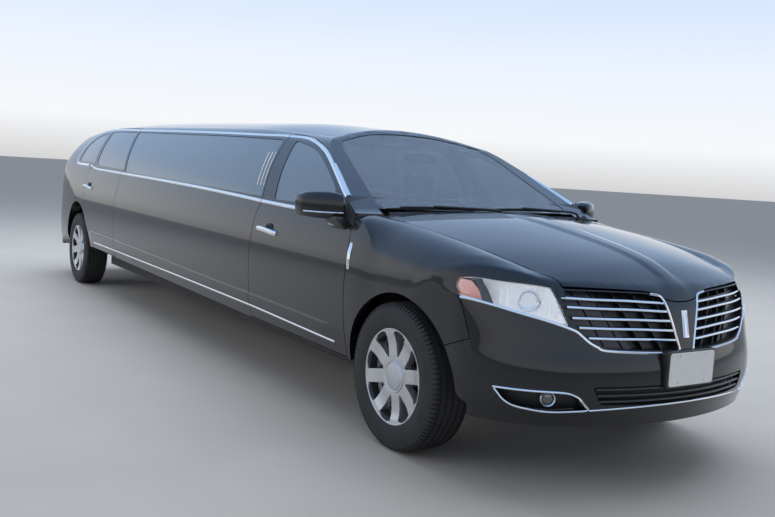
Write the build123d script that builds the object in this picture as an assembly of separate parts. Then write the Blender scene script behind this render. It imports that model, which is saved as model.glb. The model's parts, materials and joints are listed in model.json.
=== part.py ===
from build123d import *
from math import atan2, radians, sin, sqrt, tan
import os

os.makedirs("parts", exist_ok=True)

# Stretch limousine. +X is forward, +Y is the car's left, +Z is up, and the origin is the middle of its
# bounding box on the ground. All sizes are in millimetres.

# Driving dimensions
WHEELBASE = 6043.0
FRONT_OVERHANG = 1040.0
REAR_OVERHANG = 1238.0
TRACK = 1660.0
HALF_WIDTH = 965.0
ROOF_FRONT_Z = 1712.0
ROOF_REAR_Z = 1732.0

TYRE_R = 369.6
TYRE_W = 235.0
TYRE_BEAD_R = 229.0
RIM_LIP_R = 240.0
RIM_W = 214.0
RIM_SPOKES = 8
HUB_R = 78.0

WHEEL_ARCH_R = 467.0
FRONT_ARCH_Z = 325.0
REAR_ARCH_Z = 395.0
WALL_LOW = 110.0
WALL_HIGH = 48.0
ROOF_WALL = 45.0
FIREWALL_T = 60.0
TAIL_WALL = 45.0
NOSE_WALL = 26.0
DOOR_GAP = 7.0
DOOR_DRAFT = 15.0
GLASS_T = 6.0
GLASS_SET = 5.0
GLASS_GAP = 0.3
SEAT_GAP = 0.3
PLATE_STAND = 18.0
FLOOR_Z = 345.0
FLOOR_T = 30.0
BELLY_Z = 250.0

LENGTH = WHEELBASE + FRONT_OVERHANG + REAR_OVERHANG
X_FRONT = LENGTH / 2 - FRONT_OVERHANG
X_REAR = X_FRONT - WHEELBASE
SIDES = (("right", -1), ("left", 1))


def fx(s):
    """Place along X of a point s mm ahead of the front axle."""
    return X_FRONT + s


def rx(s):
    """Place along X of a point s mm ahead of the rear axle."""
    return X_REAR + s


def save(name, solids):
    """Writes one node; a list of separate solids becomes one compound."""
    if isinstance(solids, (list, tuple)):
        shape = Compound(children=[s for s in solids])
    else:
        shape = solids
    export_step(shape, "parts/" + name + ".step")
    return shape


# Body sections across the car, which end at CANT_Y, where the side windows end and the roof begins.
# Columns of BODY, one station along X in each row: x, height of the roof's middle, height of the cant rail.
CANT_Y = 700.0
ROOF_EDGE_Y = 560.0
BELT_Y = 900.0
SILL_Y = 905.0
BODY = (
    (fx(-300), 1590, 1440),
    (fx(-1440), 1650, 1500),
    (fx(-2200), 1698, 1545),
    (fx(-2900), ROOF_FRONT_Z, 1562),
    (rx(1000), ROOF_REAR_Z, 1592),
    (rx(100), 1716, 1585),
    (rx(-600), 1662, 1535),
    (rx(-1250), 1580, 1450),
)
BELT_FRONT_Z = 1145.0
BELT_REAR_Z = 1215.0
SECTION_FOOT_Z = 200.0
SILL_TURN_Z = 330.0
ROOF_EDGE_DROP = 72.0


def belt_z(x):
    """Height of the widest part's upper end, which rises towards the rear."""
    return BELT_FRONT_Z + (BELT_REAR_Z - BELT_FRONT_Z) * (fx(0) - x) / WHEELBASE


def side_y(z, x=0.0):
    """Half width of the outer skin at height z."""
    mid = 0.5 * (SILL_TURN_Z + belt_z(x))
    drop = HALF_WIDTH - SILL_Y
    half = 0.5 * (belt_z(x) - SILL_TURN_Z)
    if z <= belt_z(x):
        return HALF_WIDTH - drop * ((z - mid) / half) ** 2
    cant_z = 1570.0
    k = (z - belt_z(x)) / (cant_z - belt_z(x))
    return BELT_Y - 5 + (CANT_Y - BELT_Y + 5) * (0.72 * k + 0.28 * k * k)


def body_section(x, roof_z, cant_z, low=0.0, high=0.0, top=0.0, foot=SECTION_FOOT_Z):
    """One station of the cabin: side arc, tumblehome arc, roof corner and crown, mirrored."""
    b = belt_z(x)
    pts = [
        (SILL_Y - low, foot),
        (SILL_Y - low, SILL_TURN_Z),
        (HALF_WIDTH - low, 0.5 * (SILL_TURN_Z + b)),
        (BELT_Y - low, b),
        (0.5 * (BELT_Y - low + CANT_Y - high) + 22, 0.5 * (b + cant_z)),
        (CANT_Y - high, cant_z),
        (0.5 * (CANT_Y + ROOF_EDGE_Y) - high + 14, 0.5 * (cant_z + roof_z - ROOF_EDGE_DROP - top) + 12),
        (ROOF_EDGE_Y - high, roof_z - ROOF_EDGE_DROP - top),
        (0.0, roof_z - top),
    ]
    edges = []
    for m in (1, -1):
        p = [(y * m, z) for y, z in pts]
        edges += [
            Line(p[0], p[1]),
            ThreePointArc(p[1], p[2], p[3]),
            ThreePointArc(p[3], p[4], p[5]),
            ThreePointArc(p[5], p[6], p[7]),
        ]
    left = pts[7]
    edges.append(ThreePointArc(left, pts[8], (-left[0], left[1])))
    edges.append(Line((-pts[0][0], foot), (pts[0][0], foot)))
    return Plane.YZ.offset(x) * make_face(edges)


def cabin_loft(low=0.0, high=0.0, top=0.0, foot=SECTION_FOOT_Z):
    """The whole cabin from ahead of the windscreen to behind the tail, as one smooth loft."""
    return loft([body_section(x, r, c, low, high, top, foot) for x, r, c in BODY])


# Waterlines of the tail: height, place of the rearmost point behind the rear axle.
TAIL = (
    (200, -1150),
    (330, -1178),
    (480, -1217),
    (650, -REAR_OVERHANG),
    (770, -1215),
    (1120, -1150),
    (1190, -1105),
    (1560, -850),
    (1760, -700),
)


def tail_face(z, s, inset=0.0):
    """Plan of the tail at one height, open to the front at the middle of the car."""
    tip = rx(s) + inset
    w = HALF_WIDTH + 15 - inset
    front = fx(0)
    a = (rx(500), w)
    b = (tip + 330, 905 - inset)
    c = (tip + 110, 700 - inset)
    edges = [
        Line((front, w), a),
        ThreePointArc(a, (0.5 * (a[0] + b[0]), 0.5 * (a[1] + b[1]) + 14), b),
        ThreePointArc(b, (tip + 187, 828 - inset), c),
        ThreePointArc(c, (tip, 0), (c[0], -c[1])),
        ThreePointArc((b[0], -b[1]), (tip + 187, -828 + inset), (c[0], -c[1])),
        ThreePointArc((a[0], -w), (0.5 * (a[0] + b[0]), -0.5 * (a[1] + b[1]) - 14), (b[0], -b[1])),
        Line((a[0], -w), (front, -w)),
        Line((front, -w), (front, w)),
    ]
    return Plane.XY.offset(z) * make_face(edges)


def tail_block(inset=0.0):
    return loft([tail_face(z, s, inset) for z, s in TAIL], ruled=True)


# Windscreen: ruled between a bowed base line and a bowed header line.
SCREEN_BASE = (-470.0, 1157.0, 11000.0)
SCREEN_TOP = (-1419.0, 1640.0, 11000.0)

COWL_Z = 1147.0
HINGE_S = -455.0


def slab(x0, x1, y0, y1, z0, z1):
    """A box given by its limits along the three axes."""
    centre = Location(((x0 + x1) / 2, (y0 + y1) / 2, (z0 + z1) / 2))
    return centre * Box(abs(x1 - x0), abs(y1 - y0), abs(z1 - z0))


def screen_block(back=0.0, wall=0.0, ledge=0.0):
    """All that lies behind the windscreen and the cowl's front, set in by the given walls."""
    (s0, z0, r0), (s1, z1, r1) = SCREEN_BASE, SCREEN_TOP
    run = (s1 - s0) / (z1 - z0)
    faces = []
    for z, r in ((COWL_Z - ledge - 60, r0), (z1 + 160, r1)):
        tip = fx(s0 + run * (z - z0)) - back
        w = 1000.0
        drop = r - sqrt(r * r - w * w)
        edges = [
            ThreePointArc((tip - drop, w), (tip, 0), (tip - drop, -w)),
            Line((tip - drop, -w), (rx(-1400), -w)),
            Line((rx(-1400), -w), (rx(-1400), w)),
            Line((rx(-1400), w), (tip - drop, w)),
        ]
        faces.append(Plane.XY.offset(z) * make_face(edges))
    upper = loft(faces, ruled=True)
    return upper + slab(rx(-1400), fx(HINGE_S) - wall, -1000, 1000, 100, COWL_Z - ledge)


# Front end: stations with bonnet centre z, bonnet edge (y, z) and shoulder z.
FRONT = (
    (-640, 1182, 775, 1150),
    (-100, 1166, 752, 1108),
    (350, 1104, 722, 1046),
    (700, 1030, 660, 962),
    (900, 938, 640, 880),
    (1060, 830, 640, 780),
)


def front_section(s, zc, ye, ze, inset=0.0, foot=SECTION_FOOT_Z):
    """One station of the nose: crowned bonnet, rounded fender shoulder and the side arc."""
    b = belt_z(fx(s))
    y0 = SILL_Y - inset
    ys = HALF_WIDTH - 10 - inset
    shoulder = (ys - 14, min(ze - 90, 930))
    zc = zc - inset
    ze = ze - inset
    pts = [(y0, foot), (y0, 330), (ys, 640), shoulder, (ye, ze)]
    bulge = (0.5 * (shoulder[0] + ye) + 38, 0.5 * (shoulder[1] + ze) + 30)
    edges = [ThreePointArc((ye, ze), (0, zc), (-ye, ze)), Line((-y0, foot), (y0, foot))]
    for m in (1, -1):
        p = [(y * m, z) for y, z in pts]
        edges += [
            Line(p[0], p[1]),
            ThreePointArc(p[1], p[2], p[3]),
            ThreePointArc(p[3], (bulge[0] * m, bulge[1]), p[4]),
        ]
    return Plane.YZ.offset(fx(s)) * make_face(edges)


# Waterlines of the nose: height, place of the foremost point ahead of the front axle.
NOSE = (
    (200, 960),
    (325, 985),
    (430, FRONT_OVERHANG - PLATE_STAND),
    (560, FRONT_OVERHANG - PLATE_STAND),
    (650, 1003),
    (875, 950),
    (960, 905),
    (1250, 860),
)


def nose_face(z, s, inset=0.0):
    tip = fx(s) - inset
    w = HALF_WIDTH - inset
    back = fx(-700)
    a = (fx(60), w)
    b = (tip - 500, 925 - inset)
    c = (tip - 121, 600 - inset)
    edges = [
        Line((back, w), a),
        Line(a, b),
        ThreePointArc(b, (tip - 271, 800 - inset), c),
        ThreePointArc(c, (tip, 0), (c[0], -c[1])),
        ThreePointArc((b[0], -b[1]), (tip - 271, -800 + inset), (c[0], -c[1])),
        Line((b[0], -b[1]), (a[0], -w)),
        Line((a[0], -w), (back, -w)),
        Line((back, -w), (back, w)),
    ]
    return Plane.XY.offset(z) * make_face(edges)


def front_solid(inset=0.0, foot=SECTION_FOOT_Z):
    body = loft([front_section(s, zc, ye, ze, inset, foot) for s, zc, ye, ze in FRONT])
    nose = loft([nose_face(z, s, inset) for z, s in NOSE], ruled=True)
    return body & nose


def prism_xz(points, side, inner=300.0, draft=0.0):
    """Side outline cut through one side of the body, leaning forward as it goes inward."""
    outer = HALF_WIDTH + 40
    outline = make_face(Polyline(*points, close=True))
    lean = tan(radians(draft))
    start = Plane(origin=(0, side * outer, 0), x_dir=(1, 0, 0), z_dir=(0, -1, 0))
    depth = outer - inner
    way = Vector(lean, -side, 0)
    return extrude(start * outline, amount=depth * way.length, dir=way.normalized())


def seam(points):
    """Shifts skin seam points back to the drawing plane of a leaning cut."""
    lean = tan(radians(DOOR_DRAFT))
    return [(x - (HALF_WIDTH + 40 - side_y(z, x)) * lean, z) for x, z in points]


def prism_yz(points, x0, x1, side=1):
    """Front view outline cut along X between two places."""
    face = make_face(Polyline(*[(side * y, z) for y, z in points], close=True))
    return extrude(Plane.YZ.offset(x0) * face, amount=x1 - x0)


def prism_xy(points, z0, z1):
    face = make_face(Polyline(*points, close=True))
    return extrude(Plane.XY.offset(z0) * face, amount=z1 - z0)


def grow(points, by):
    """Outline moved outward (or inward where by is negative)."""
    face = offset(make_face(Polyline(*points, close=True)), amount=by, kind=Kind.INTERSECTION)
    return [(v.X, v.Y) for v in ordered(face)]


def ordered(face):
    wire = face.faces()[0].outer_wire()
    return [e @ 0 for e in wire.order_edges()]


def arch(z, x, r, side, inner):
    """Cylinder of a wheel opening through one side."""
    depth = HALF_WIDTH + 60 - inner
    mid = side * (inner + depth / 2)
    return Location((x, mid, z), (90, 0, 0)) * Cylinder(r, depth)


# Side outlines, from the axles: front door, rear door and windows, x and z of their seams.
FRONT_DOOR = [
    (fx(-464), 372), (fx(-463), 737), (fx(-472), 1010), (fx(-508), 1126), (fx(-575), 1184),
    (fx(-700), 1255), (fx(-895), 1356), (fx(-1115), 1457), (fx(-1305), 1522), (fx(-1550), 1568),
    (fx(-1790), 1580), (fx(-1628), 1140), (fx(-1672), 1060), (fx(-1674), 600), (fx(-1690), 385),
]
REAR_DOOR = [
    (rx(1327), 428), (rx(1343), 1188), (rx(1395), 1213), (rx(1160), 1634), (rx(525), 1646),
    (rx(262), 1640), (rx(385), 1262), (rx(245), 1205), (rx(213), 1000), (rx(262), 815),
    (rx(372), 660), (rx(480), 520), (rx(560), 437),
]
FRONT_WINDOW = [
    (fx(-770), 1160), (fx(-790), 1258), (fx(-915), 1324), (fx(-1128), 1421), (fx(-1312), 1485),
    (fx(-1555), 1530), (fx(-1640), 1538), (fx(-1470), 1160),
]
STRETCH_WINDOW = [
    (fx(-1665), 1168), (fx(-1815), 1545), (fx(-2611), 1567), (rx(1500), 1595), (rx(1190), 1598),
    (rx(1425), 1222),
]
REAR_WINDOW = [
    (rx(1365), 1240), (rx(1140), 1600), (rx(525), 1606), (rx(325), 1600), (rx(420), 1290),
    (rx(530), 1256),
]
QUARTER_WINDOW = [
    (rx(335), 1280), (rx(250), 1590), (rx(140), 1588), (rx(-125), 1545), (rx(-262), 1440),
    (rx(-262), 1290),
]
TAIL_SEAM_Z = 780.0
BUMPER_FOOT_Z = 335.0
SIDE_REGION = [
    (fx(HINGE_S), 362), (fx(-1700), 377), (rx(1300), 420), (rx(640), 432), (rx(-480), 440),
    (rx(-530), 445), (rx(-530), TAIL_SEAM_Z), (rx(-1400), TAIL_SEAM_Z), (rx(-1400), 1900), (fx(-200), 1900),
    (fx(HINGE_S), 1140),
]
SCREEN = [(-728, 1172), (728, 1172), (590, 1540), (300, 1600), (0, 1615), (-300, 1600), (-590, 1540)]
TAILGATE_FOOT_Z = 795.0
TAILGATE = [
    (-640, TAILGATE_FOOT_Z), (640, TAILGATE_FOOT_Z), (685, 1150), (610, 1560), (600, 1900), (-600, 1900),
    (-610, 1560), (-685, 1150),
]
TAILGATE_WINDOW = [(-585, 1205), (585, 1205), (520, 1500), (-520, 1500)]
TAILGATE_TOP_X = rx(-760)
TAIL_LAMP_Z = (1000.0, 1110.0)
TAIL_LAMP_X = rx(-960)
TAIL_LAMP_T = 12.0
TAIL_LAMP_EDGE = 3.0
GATE_GAP = 10.0
PILLAR_Y = 845.0
ROOF_Y = 552.0
STRIKER_Y = (868.0, 908.0)
STRIKER_Z = (878.0, 922.0)


def biggest(shape):
    return max(shape.solids(), key=lambda s: s.volume)


def both(shape):
    """A solid and its mirror image across the car's middle plane."""
    return [shape, mirror(shape, about=Plane.XZ)]


def striker(shell, outline, x0, x1):
    """Latch striker on the pillar behind a right door, which reaches to the door's rear edge."""
    reach = prism_xz(seam(grow(outline, DOOR_GAP + 4)), -1, draft=DOOR_DRAFT)
    reach -= prism_xz(seam(grow(outline, SEAT_GAP)), -1, draft=DOOR_DRAFT)
    return biggest(reach & slab(x0, x1, -STRIKER_Y[1], -STRIKER_Y[0], *STRIKER_Z) & shell)


def tail_lamp(outer, slack=0.0):
    """Lamp band round the tail, as a layer of the skin; slack makes the room that it sits in."""
    set_in = TAIL_LAMP_T + slack
    layer = outer - (cabin_loft(set_in, set_in, set_in, foot=150) & tail_block(set_in))
    z0, z1 = TAIL_LAMP_Z
    return layer & slab(rx(-1400), TAIL_LAMP_X + slack, -1000, 1000, z0 - slack, z1 + slack)


def cabin_panels():
    """Roof, body sides, doors, tailgate, firewall, tail lamps and all the glass of the cabin."""
    outer = cabin_loft() & tail_block() & screen_block()
    inner = (cabin_loft(WALL_LOW, WALL_HIGH, ROOF_WALL, foot=120)
             & tail_block(TAIL_WALL) & screen_block(32, FIREWALL_T, 24))
    shell = outer - inner
    g0 = GLASS_SET
    g1 = GLASS_SET + GLASS_T
    panes = ((cabin_loft(g0, g0, g0) & tail_block(g0) & screen_block(g0))
             - (cabin_loft(g1, g1, g1, foot=150) & tail_block(g1) & screen_block(g1, 8, 8)))

    screen_cut = prism_yz(SCREEN, fx(-1700), fx(-300))
    gate_cut = prism_yz(TAILGATE, rx(-1400), TAILGATE_TOP_X)
    gate_room = prism_yz(grow(TAILGATE, GATE_GAP), rx(-1400), TAILGATE_TOP_X + DOOR_GAP)
    gate_window = prism_yz(TAILGATE_WINDOW, rx(-1400), rx(-600))
    roof_cut = slab(TAILGATE_TOP_X + DOOR_GAP, fx(-1150), -ROOF_Y, ROOF_Y, 1450, 1900)
    firewall_cut = slab(fx(-660), fx(-400), -735, 735, FLOOR_Z, 1172)

    save("roof_panel", biggest((shell & roof_cut) - screen_cut - gate_room))
    save("windscreen", biggest(panes & prism_yz(grow(SCREEN, -GLASS_GAP), fx(-1700), fx(-300))))
    mouth = Location((fx(-500), 0, FLOOR_Z), (0, 90, 0)) * Cylinder(GEAR_ROOM, 400)
    save("firewall", biggest((shell & firewall_cut) - mouth))
    latch = slab(rx(-1195), rx(-1165), -30, 30, TAIL_SEAM_Z, TAILGATE_FOOT_Z + 15)
    lamp = tail_lamp(outer)
    lamp_room = tail_lamp(outer, SEAT_GAP)
    gate_lamp = prism_yz(grow(TAILGATE, -TAIL_LAMP_EDGE), rx(-1400), rx(-900))
    gate_lamp_room = prism_yz(grow(TAILGATE, SEAT_GAP - TAIL_LAMP_EDGE), rx(-1400), rx(-900))
    past_gate = prism_yz(grow(TAILGATE, GATE_GAP + TAIL_LAMP_EDGE), rx(-1400), rx(-900))
    past_gate_room = prism_yz(grow(TAILGATE, GATE_GAP + TAIL_LAMP_EDGE - SEAT_GAP), rx(-1400), rx(-900))
    save("tailgate_lamp", biggest(lamp & gate_lamp))
    save("tailgate", biggest((shell & gate_cut) - gate_window - (lamp_room & gate_lamp_room) + latch))
    right_lamp = biggest((lamp - past_gate) & slab(rx(-1400), rx(-900), -1000, 0, 900, 1200))
    save("tail_lamps", both(right_lamp))
    save("tailgate_glass", biggest(panes & prism_yz(grow(TAILGATE_WINDOW, -GLASS_GAP), rx(-1400), rx(-600))))

    half = shell & prism_xz(SIDE_REGION, -1, inner=0)
    half = half - roof_cut - screen_cut - gate_room - firewall_cut - (lamp_room - past_gate_room)
    half -= slab(rx(-1400), rx(-530), -640 - GATE_GAP, 0, TAIL_SEAM_Z - 1, TAILGATE_FOOT_Z)
    pillar = slab(fx(-700), fx(-100), -PILLAR_Y, PILLAR_Y, FLOOR_T, COWL_Z + 13)
    for outline in (FRONT_DOOR, REAR_DOOR):
        half = half - (prism_xz(seam(grow(outline, DOOR_GAP)), -1, draft=DOOR_DRAFT) - pillar)
    half = half - arch(REAR_ARCH_Z, rx(0), WHEEL_ARCH_R, -1, 600)
    half += striker(shell, FRONT_DOOR, fx(-1720), fx(-1620))
    half += striker(shell, REAR_DOOR, rx(180), rx(300))
    side_panes = []
    for window in (STRETCH_WINDOW, QUARTER_WINDOW):
        half = half - prism_xz(window, -1)
        side_panes += both(biggest(panes & prism_xz(grow(window, -GLASS_GAP), -1)))
    save("side_glass", side_panes)
    save_pair("body_side", biggest(half))

    tail_end = shell & slab(rx(-1400), rx(-530) - SEAT_GAP, -1000, 1000, BUMPER_FOOT_Z, TAIL_SEAM_Z - SEAT_GAP)
    save("rear_bumper", biggest(tail_end))

    inboard = slab(rx(-748), fx(-100), -ROOF_Y - DOOR_GAP, ROOF_Y + DOOR_GAP, FLOOR_T, 1900)
    inboard += slab(fx(-700), fx(-100), -PILLAR_Y - 10, PILLAR_Y + 10, FLOOR_T, COWL_Z + 22)
    inboard += slab(fx(HINGE_S - DOOR_GAP), fx(-100), -1000, 1000, FLOOR_T, COWL_Z + 22)
    for label, outline, window in (("front", FRONT_DOOR, FRONT_WINDOW), ("rear", REAR_DOOR, REAR_WINDOW)):
        door = (shell & prism_xz(seam(outline), -1, draft=DOOR_DRAFT)) - inboard
        save_pair("door_" + label, biggest(door - prism_xz(window, -1) - screen_cut))
        save_pair("door_glass_" + label, biggest(panes & prism_xz(grow(window, -GLASS_GAP), -1)))


def save_pair(name, right):
    """Writes a right-hand piece and its left-hand mirror image as two nodes."""
    save(name + "_right", right)
    save(name + "_left", mirror(right, about=Plane.XZ))


# Front view outlines of the nose, y and z: headlamp, one wing of the grille, fog recess, low intake.
LAMP = [(892, 920), (863, 934), (618, 916), (598, 758), (640, 757), (811, 815), (906, 842)]
WING = [(596, 890), (592, 752), (531, 700), (451, 668), (48, 650), (16, 664), (92, 843), (143, 896), (400, 905)]
FOG = [(860, 478), (614, 478), (567, 450), (525, 400), (685, 384), (804, 398), (846, 430)]
INTAKE = [(520, 505), (-520, 505), (-480, 425), (-311, 418), (311, 418), (480, 425)]
# Grille bars of one wing: outer y, z and inner y, z of each bar's middle line.
BARS = ((588, 858, 112, 836), (588, 822, 96, 800), (588, 786, 78, 762), (566, 748, 58, 728), (524, 712, 40, 692))
BAR_H = 17.0
BAR_DEEP = 22.0
FIN_COUNT = 12
FIN_T = 4.0
LAMP_DEEP = 95.0
PLATE_W = 305.0
PLATE_H = 152.0
PLATE_T = 3.0
PLATE_Z = 573.0
FRONT_ROOF = 1300.0
PANEL_TOP_Z = 860.0
STRIKER_S = 710.0

# Plan of the bonnet, x and half width, from the rear corner to the nose.
BONNET = [
    (fx(-438), 0), (fx(-440), 400), (fx(-444), 752), (fx(-316), 760), (fx(68), 745),
    (fx(373), 718), (fx(558), 680), (fx(687), 640), (fx(728), 612), (fx(770), 540), (fx(822), 400),
    (fx(867), 243), (fx(889), 123), (fx(914), 60), (fx(920), 0),
]
FENDER = [
    (fx(HINGE_S) + SEAT_GAP, 362), (fx(HINGE_S) + SEAT_GAP, 1300), (fx(900), 1300), (fx(470), 846), (fx(543), 690),
    (fx(505), 560), (fx(505), 300),
]
BUMPER = [
    (fx(475), 843), (fx(547), 690), (fx(509), 560), (fx(509), 330), (fx(700), 318), (fx(1100), 318),
    (fx(1100), 1000), (fx(650), 1000),
]


def plan_both(points):
    """Half outline in plan, mirrored to a closed one."""
    return points + [(x, -y) for x, y in reversed(points) if y > 0]


def front_panels():
    """Bonnet, fenders, bumper, grille, headlamps and fog lamps."""
    outer = front_solid()
    shell = outer - front_solid(NOSE_WALL, foot=150)
    deep = outer - front_solid(LAMP_DEEP, foot=100)
    bonnet_cut = prism_xy(plan_both(BONNET), 800, FRONT_ROOF)
    bonnet_room = prism_xy(grow(plan_both(BONNET), DOOR_GAP), 800, FRONT_ROOF)
    front = (fx(420), fx(1100))
    lamp_cut = prism_yz(LAMP, *front, side=-1)
    lamp_room = prism_yz(grow(LAMP, SEAT_GAP), *front, side=-1)
    wing_cuts = [prism_yz(WING, *front, side=m) for m in (-1, 1)]
    fog_cut = prism_yz(FOG, *front, side=-1)
    hood = biggest(shell & bonnet_cut)
    for side in (-1, 1):
        hood = hood - prism_yz(grow(WING, 4), *front, side=side) - prism_yz(grow(LAMP, 4), *front, side=side)
    striker = Pos(fx(STRIKER_S), 0, (PANEL_TOP_Z + SEAT_GAP + 1010) / 2) * Cylinder(9, 1010 - PANEL_TOP_Z - SEAT_GAP)
    save("hood", biggest(biggest(hood) + striker))

    fender = shell & prism_xz(FENDER, -1, inner=500)
    fender = fender - bonnet_room - lamp_room - arch(FRONT_ARCH_Z, fx(35), WHEEL_ARCH_R, -1, 600)
    fender -= slab(fx(HINGE_S) - 5, fx(HINGE_S) + 60, -740, 0, 1000, FRONT_ROOF)
    save_pair("fender", biggest(fender))

    bumper = shell & prism_xz(BUMPER, -1, inner=0)
    bumper = bumper - bonnet_room - lamp_room - wing_cuts[0] - fog_cut - prism_yz(INTAKE, *front)
    bumper = biggest(bumper)
    save("front_bumper", biggest(bumper + mirror(bumper, about=Plane.XZ)))

    lamps = both(biggest(deep & lamp_cut))
    recess = outer - front_solid(60, foot=120)
    fogs = both(biggest((recess - front_solid(45, foot=140)) & prism_yz(grow(FOG, -0.3), *front, side=-1)))
    save("headlamps", lamps)
    save("fog_lamps", fogs)
    save("grille", grille(outer))


def grille(outer):
    """Two wings of bright bars before upright fins, with a rim round each wing."""
    front = (fx(500), fx(1100))
    wing = make_face(Polyline(*grow(WING, -0.5), close=True))
    face = wing - make_face(Polyline(*grow(WING, -13), close=True))
    h = BAR_H / 2
    for y0, z0, y1, z1 in BARS:
        bar = Polyline((y0 + 6, z0 - h), (y0 + 6, z0 + h), (y1 - 16, z1 + h), (y1 - 16, z1 - h), close=True)
        face += wing & make_face(bar)
    skin = outer - front_solid(BAR_DEEP, foot=150)
    lattice = skin & extrude(Plane.YZ.offset(front[0]) * face, amount=front[1] - front[0])
    fins = Sketch()
    for i in range(FIN_COUNT):
        y = 70 + i * 500 / (FIN_COUNT - 1)
        fins += wing & Pos(y, 780) * Rectangle(FIN_T, 400)
    cage = front_solid(BAR_DEEP - 3, foot=150) - front_solid(BAR_DEEP + 34, foot=150)
    upright = cage & extrude(Plane.YZ.offset(front[0]) * fins, amount=front[1] - front[0])
    return both(biggest(lattice + upright))


# Wheel: radius and distance outward from the middle plane.
TYRE_HALF = TYRE_W / 2
RIM_HALF = RIM_W / 2
SPOKE_IN = 44.0
SPOKE_OUT = 92.0
MOUNT_FACE = 40.0


def tyre(x, side):
    """Closed ring with round shoulders, thick where it carries the tread."""
    r0, r1, w = TYRE_BEAD_R, TYRE_R, TYRE_HALF
    edges = [
        Line((r0, -98), (r0, 98)),
        Line((r0, 98), (r0 + 14, 106)),
        ThreePointArc((r0 + 14, 106), (r0 + 62, w), (r1 - 26, w - 12)),
        ThreePointArc((r1 - 26, w - 12), (r1 - 8, w - 20), (r1 - 3, w - 34)),
        ThreePointArc((r1 - 3, w - 34), (r1, 0), (r1 - 3, -w + 34)),
        ThreePointArc((r1 - 3, -w + 34), (r1 - 8, -w + 20), (r1 - 26, -w + 12)),
        ThreePointArc((r1 - 26, -w + 12), (r0 + 62, -w), (r0 + 14, -106)),
        Line((r0 + 14, -106), (r0, -98)),
    ]
    face = make_face([Plane.XZ * e for e in edges])
    turned = revolve(face, axis=Axis.Z)
    return Location((x, side * TRACK / 2, TYRE_R)) * (Rotation(-90 * side, 0, 0) * turned)


def rim(x, side):
    """Cast wheel: barrel with two lips, hub and broad flat spokes."""
    r0 = TYRE_BEAD_R - GLASS_GAP
    barrel = [
        (r0, -98.6), (r0 + 11, -105.6), (r0 + 11, -RIM_HALF), (r0 - 8, -RIM_HALF), (r0 - 12, -90),
        (r0 - 22, -40), (r0 - 22, 40), (r0 - 12, 90), (r0 - 8, RIM_HALF), (r0 + 11, RIM_HALF),
        (r0 + 11, 105.6), (r0, 98.6),
    ]
    face = make_face(Plane.XZ * Polyline(*barrel, close=True))
    wheel = revolve(face, axis=Axis.Z)
    hub = Pos(0, 0, (MOUNT_FACE + SPOKE_OUT) / 2) * Cylinder(HUB_R, SPOKE_OUT - MOUNT_FACE)
    cap = Pos(0, 0, SPOKE_OUT + 3) * Cylinder(HUB_R - 12, 10)
    wheel += hub + cap
    spoke = Polyline((50, -21), (r0 - 14, -46), (r0 - 14, 46), (50, 21), close=True)
    spokes = Sketch()
    for i in range(RIM_SPOKES):
        spokes += Rot(0, 0, 360 * i / RIM_SPOKES) * make_face(spoke)
    wheel += extrude(Pos(0, 0, SPOKE_IN) * spokes, amount=SPOKE_OUT - SPOKE_IN)
    return Location((x, side * TRACK / 2, TYRE_R)) * (Rotation(-90 * side, 0, 0) * wheel)


HUB_FACE_Y = TRACK / 2 + MOUNT_FACE - 0.3
KING_LOW_Y = 775.0
KING_HIGH_Y = 600.0
BALL_LOW_Z = 262.0
STRUT_FOOT_Z = 505.0
STRUT_TOP_Z = 830.0
STRUT_R = 26.0
SUBFRAME_FOOT_Z = 225.0
SUBFRAME_TOP_Z = 275.0


def king_y(z):
    """Distance of the steering axis from the middle plane at height z; it leans in as it rises."""
    return KING_LOW_Y + (KING_HIGH_Y - KING_LOW_Y) * (z - BALL_LOW_Z) / (STRUT_TOP_Z - BALL_LOW_Z)


def king_rod(side, z0, z1, r):
    """Round piece along the steering axis between two heights, with ends square to it."""
    a = Vector(X_FRONT, side * king_y(z0), z0)
    b = Vector(X_FRONT, side * king_y(z1), z1)
    return extrude(Plane(origin=a, z_dir=b - a) * Circle(r), amount=(b - a).length)


def knuckle(side):
    """Front hub carrier: flange, hub barrel, upright on the steering axis and steering arm."""
    hub_len = HUB_FACE_Y - king_y(TYRE_R)
    hub = Location((X_FRONT, side * (HUB_FACE_Y - hub_len / 2), TYRE_R), (90, 0, 0)) * Cylinder(48, hub_len)
    flange = Location((X_FRONT, side * (HUB_FACE_Y - 6), TYRE_R), (90, 0, 0)) * Cylinder(72, 12)
    upright = king_rod(side, BALL_LOW_Z + 10, STRUT_FOOT_Z, 30)
    y = side * king_y(TYRE_R - 36)
    arm = slab(X_FRONT - 150, X_FRONT, y - 16, y + 16, TYRE_R - 50, TYRE_R - 22)
    return hub + flange + upright + arm


def front_suspension():
    """Subframe with lower arms and ball joints, and a strut for each side."""
    frame = slab(fx(-230), fx(-150), -470, 470, SUBFRAME_FOOT_Z, SUBFRAME_TOP_Z)
    frame += slab(fx(150), fx(230), -470, 470, SUBFRAME_FOOT_Z, SUBFRAME_TOP_Z)
    for side in (-1, 1):
        end = side * (KING_LOW_Y + 24)
        legs = Polyline((fx(-230), side * 430), (fx(-34), end), (fx(34), end), (fx(230), side * 430),
                        (fx(140), side * 430), (fx(0), side * 660), (fx(-140), side * 430), close=True)
        frame += extrude(Pos(0, 0, SUBFRAME_FOOT_Z) * make_face(legs), amount=BALL_LOW_Z - 9 - SUBFRAME_FOOT_Z)
        frame += slab(fx(-230), fx(230), side * 400, side * 470, SUBFRAME_FOOT_Z, SUBFRAME_TOP_Z)
        frame += king_rod(side, BALL_LOW_Z - 14, BALL_LOW_Z + 9.6, 16)
    struts = [king_rod(side, STRUT_FOOT_Z + 0.35, STRUT_TOP_Z - 8, STRUT_R) for side in (-1, 1)]
    return [biggest(frame)] + struts


REAR_HUB_Y = 520.0
REAR_SEAT_Z = 560.0


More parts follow.
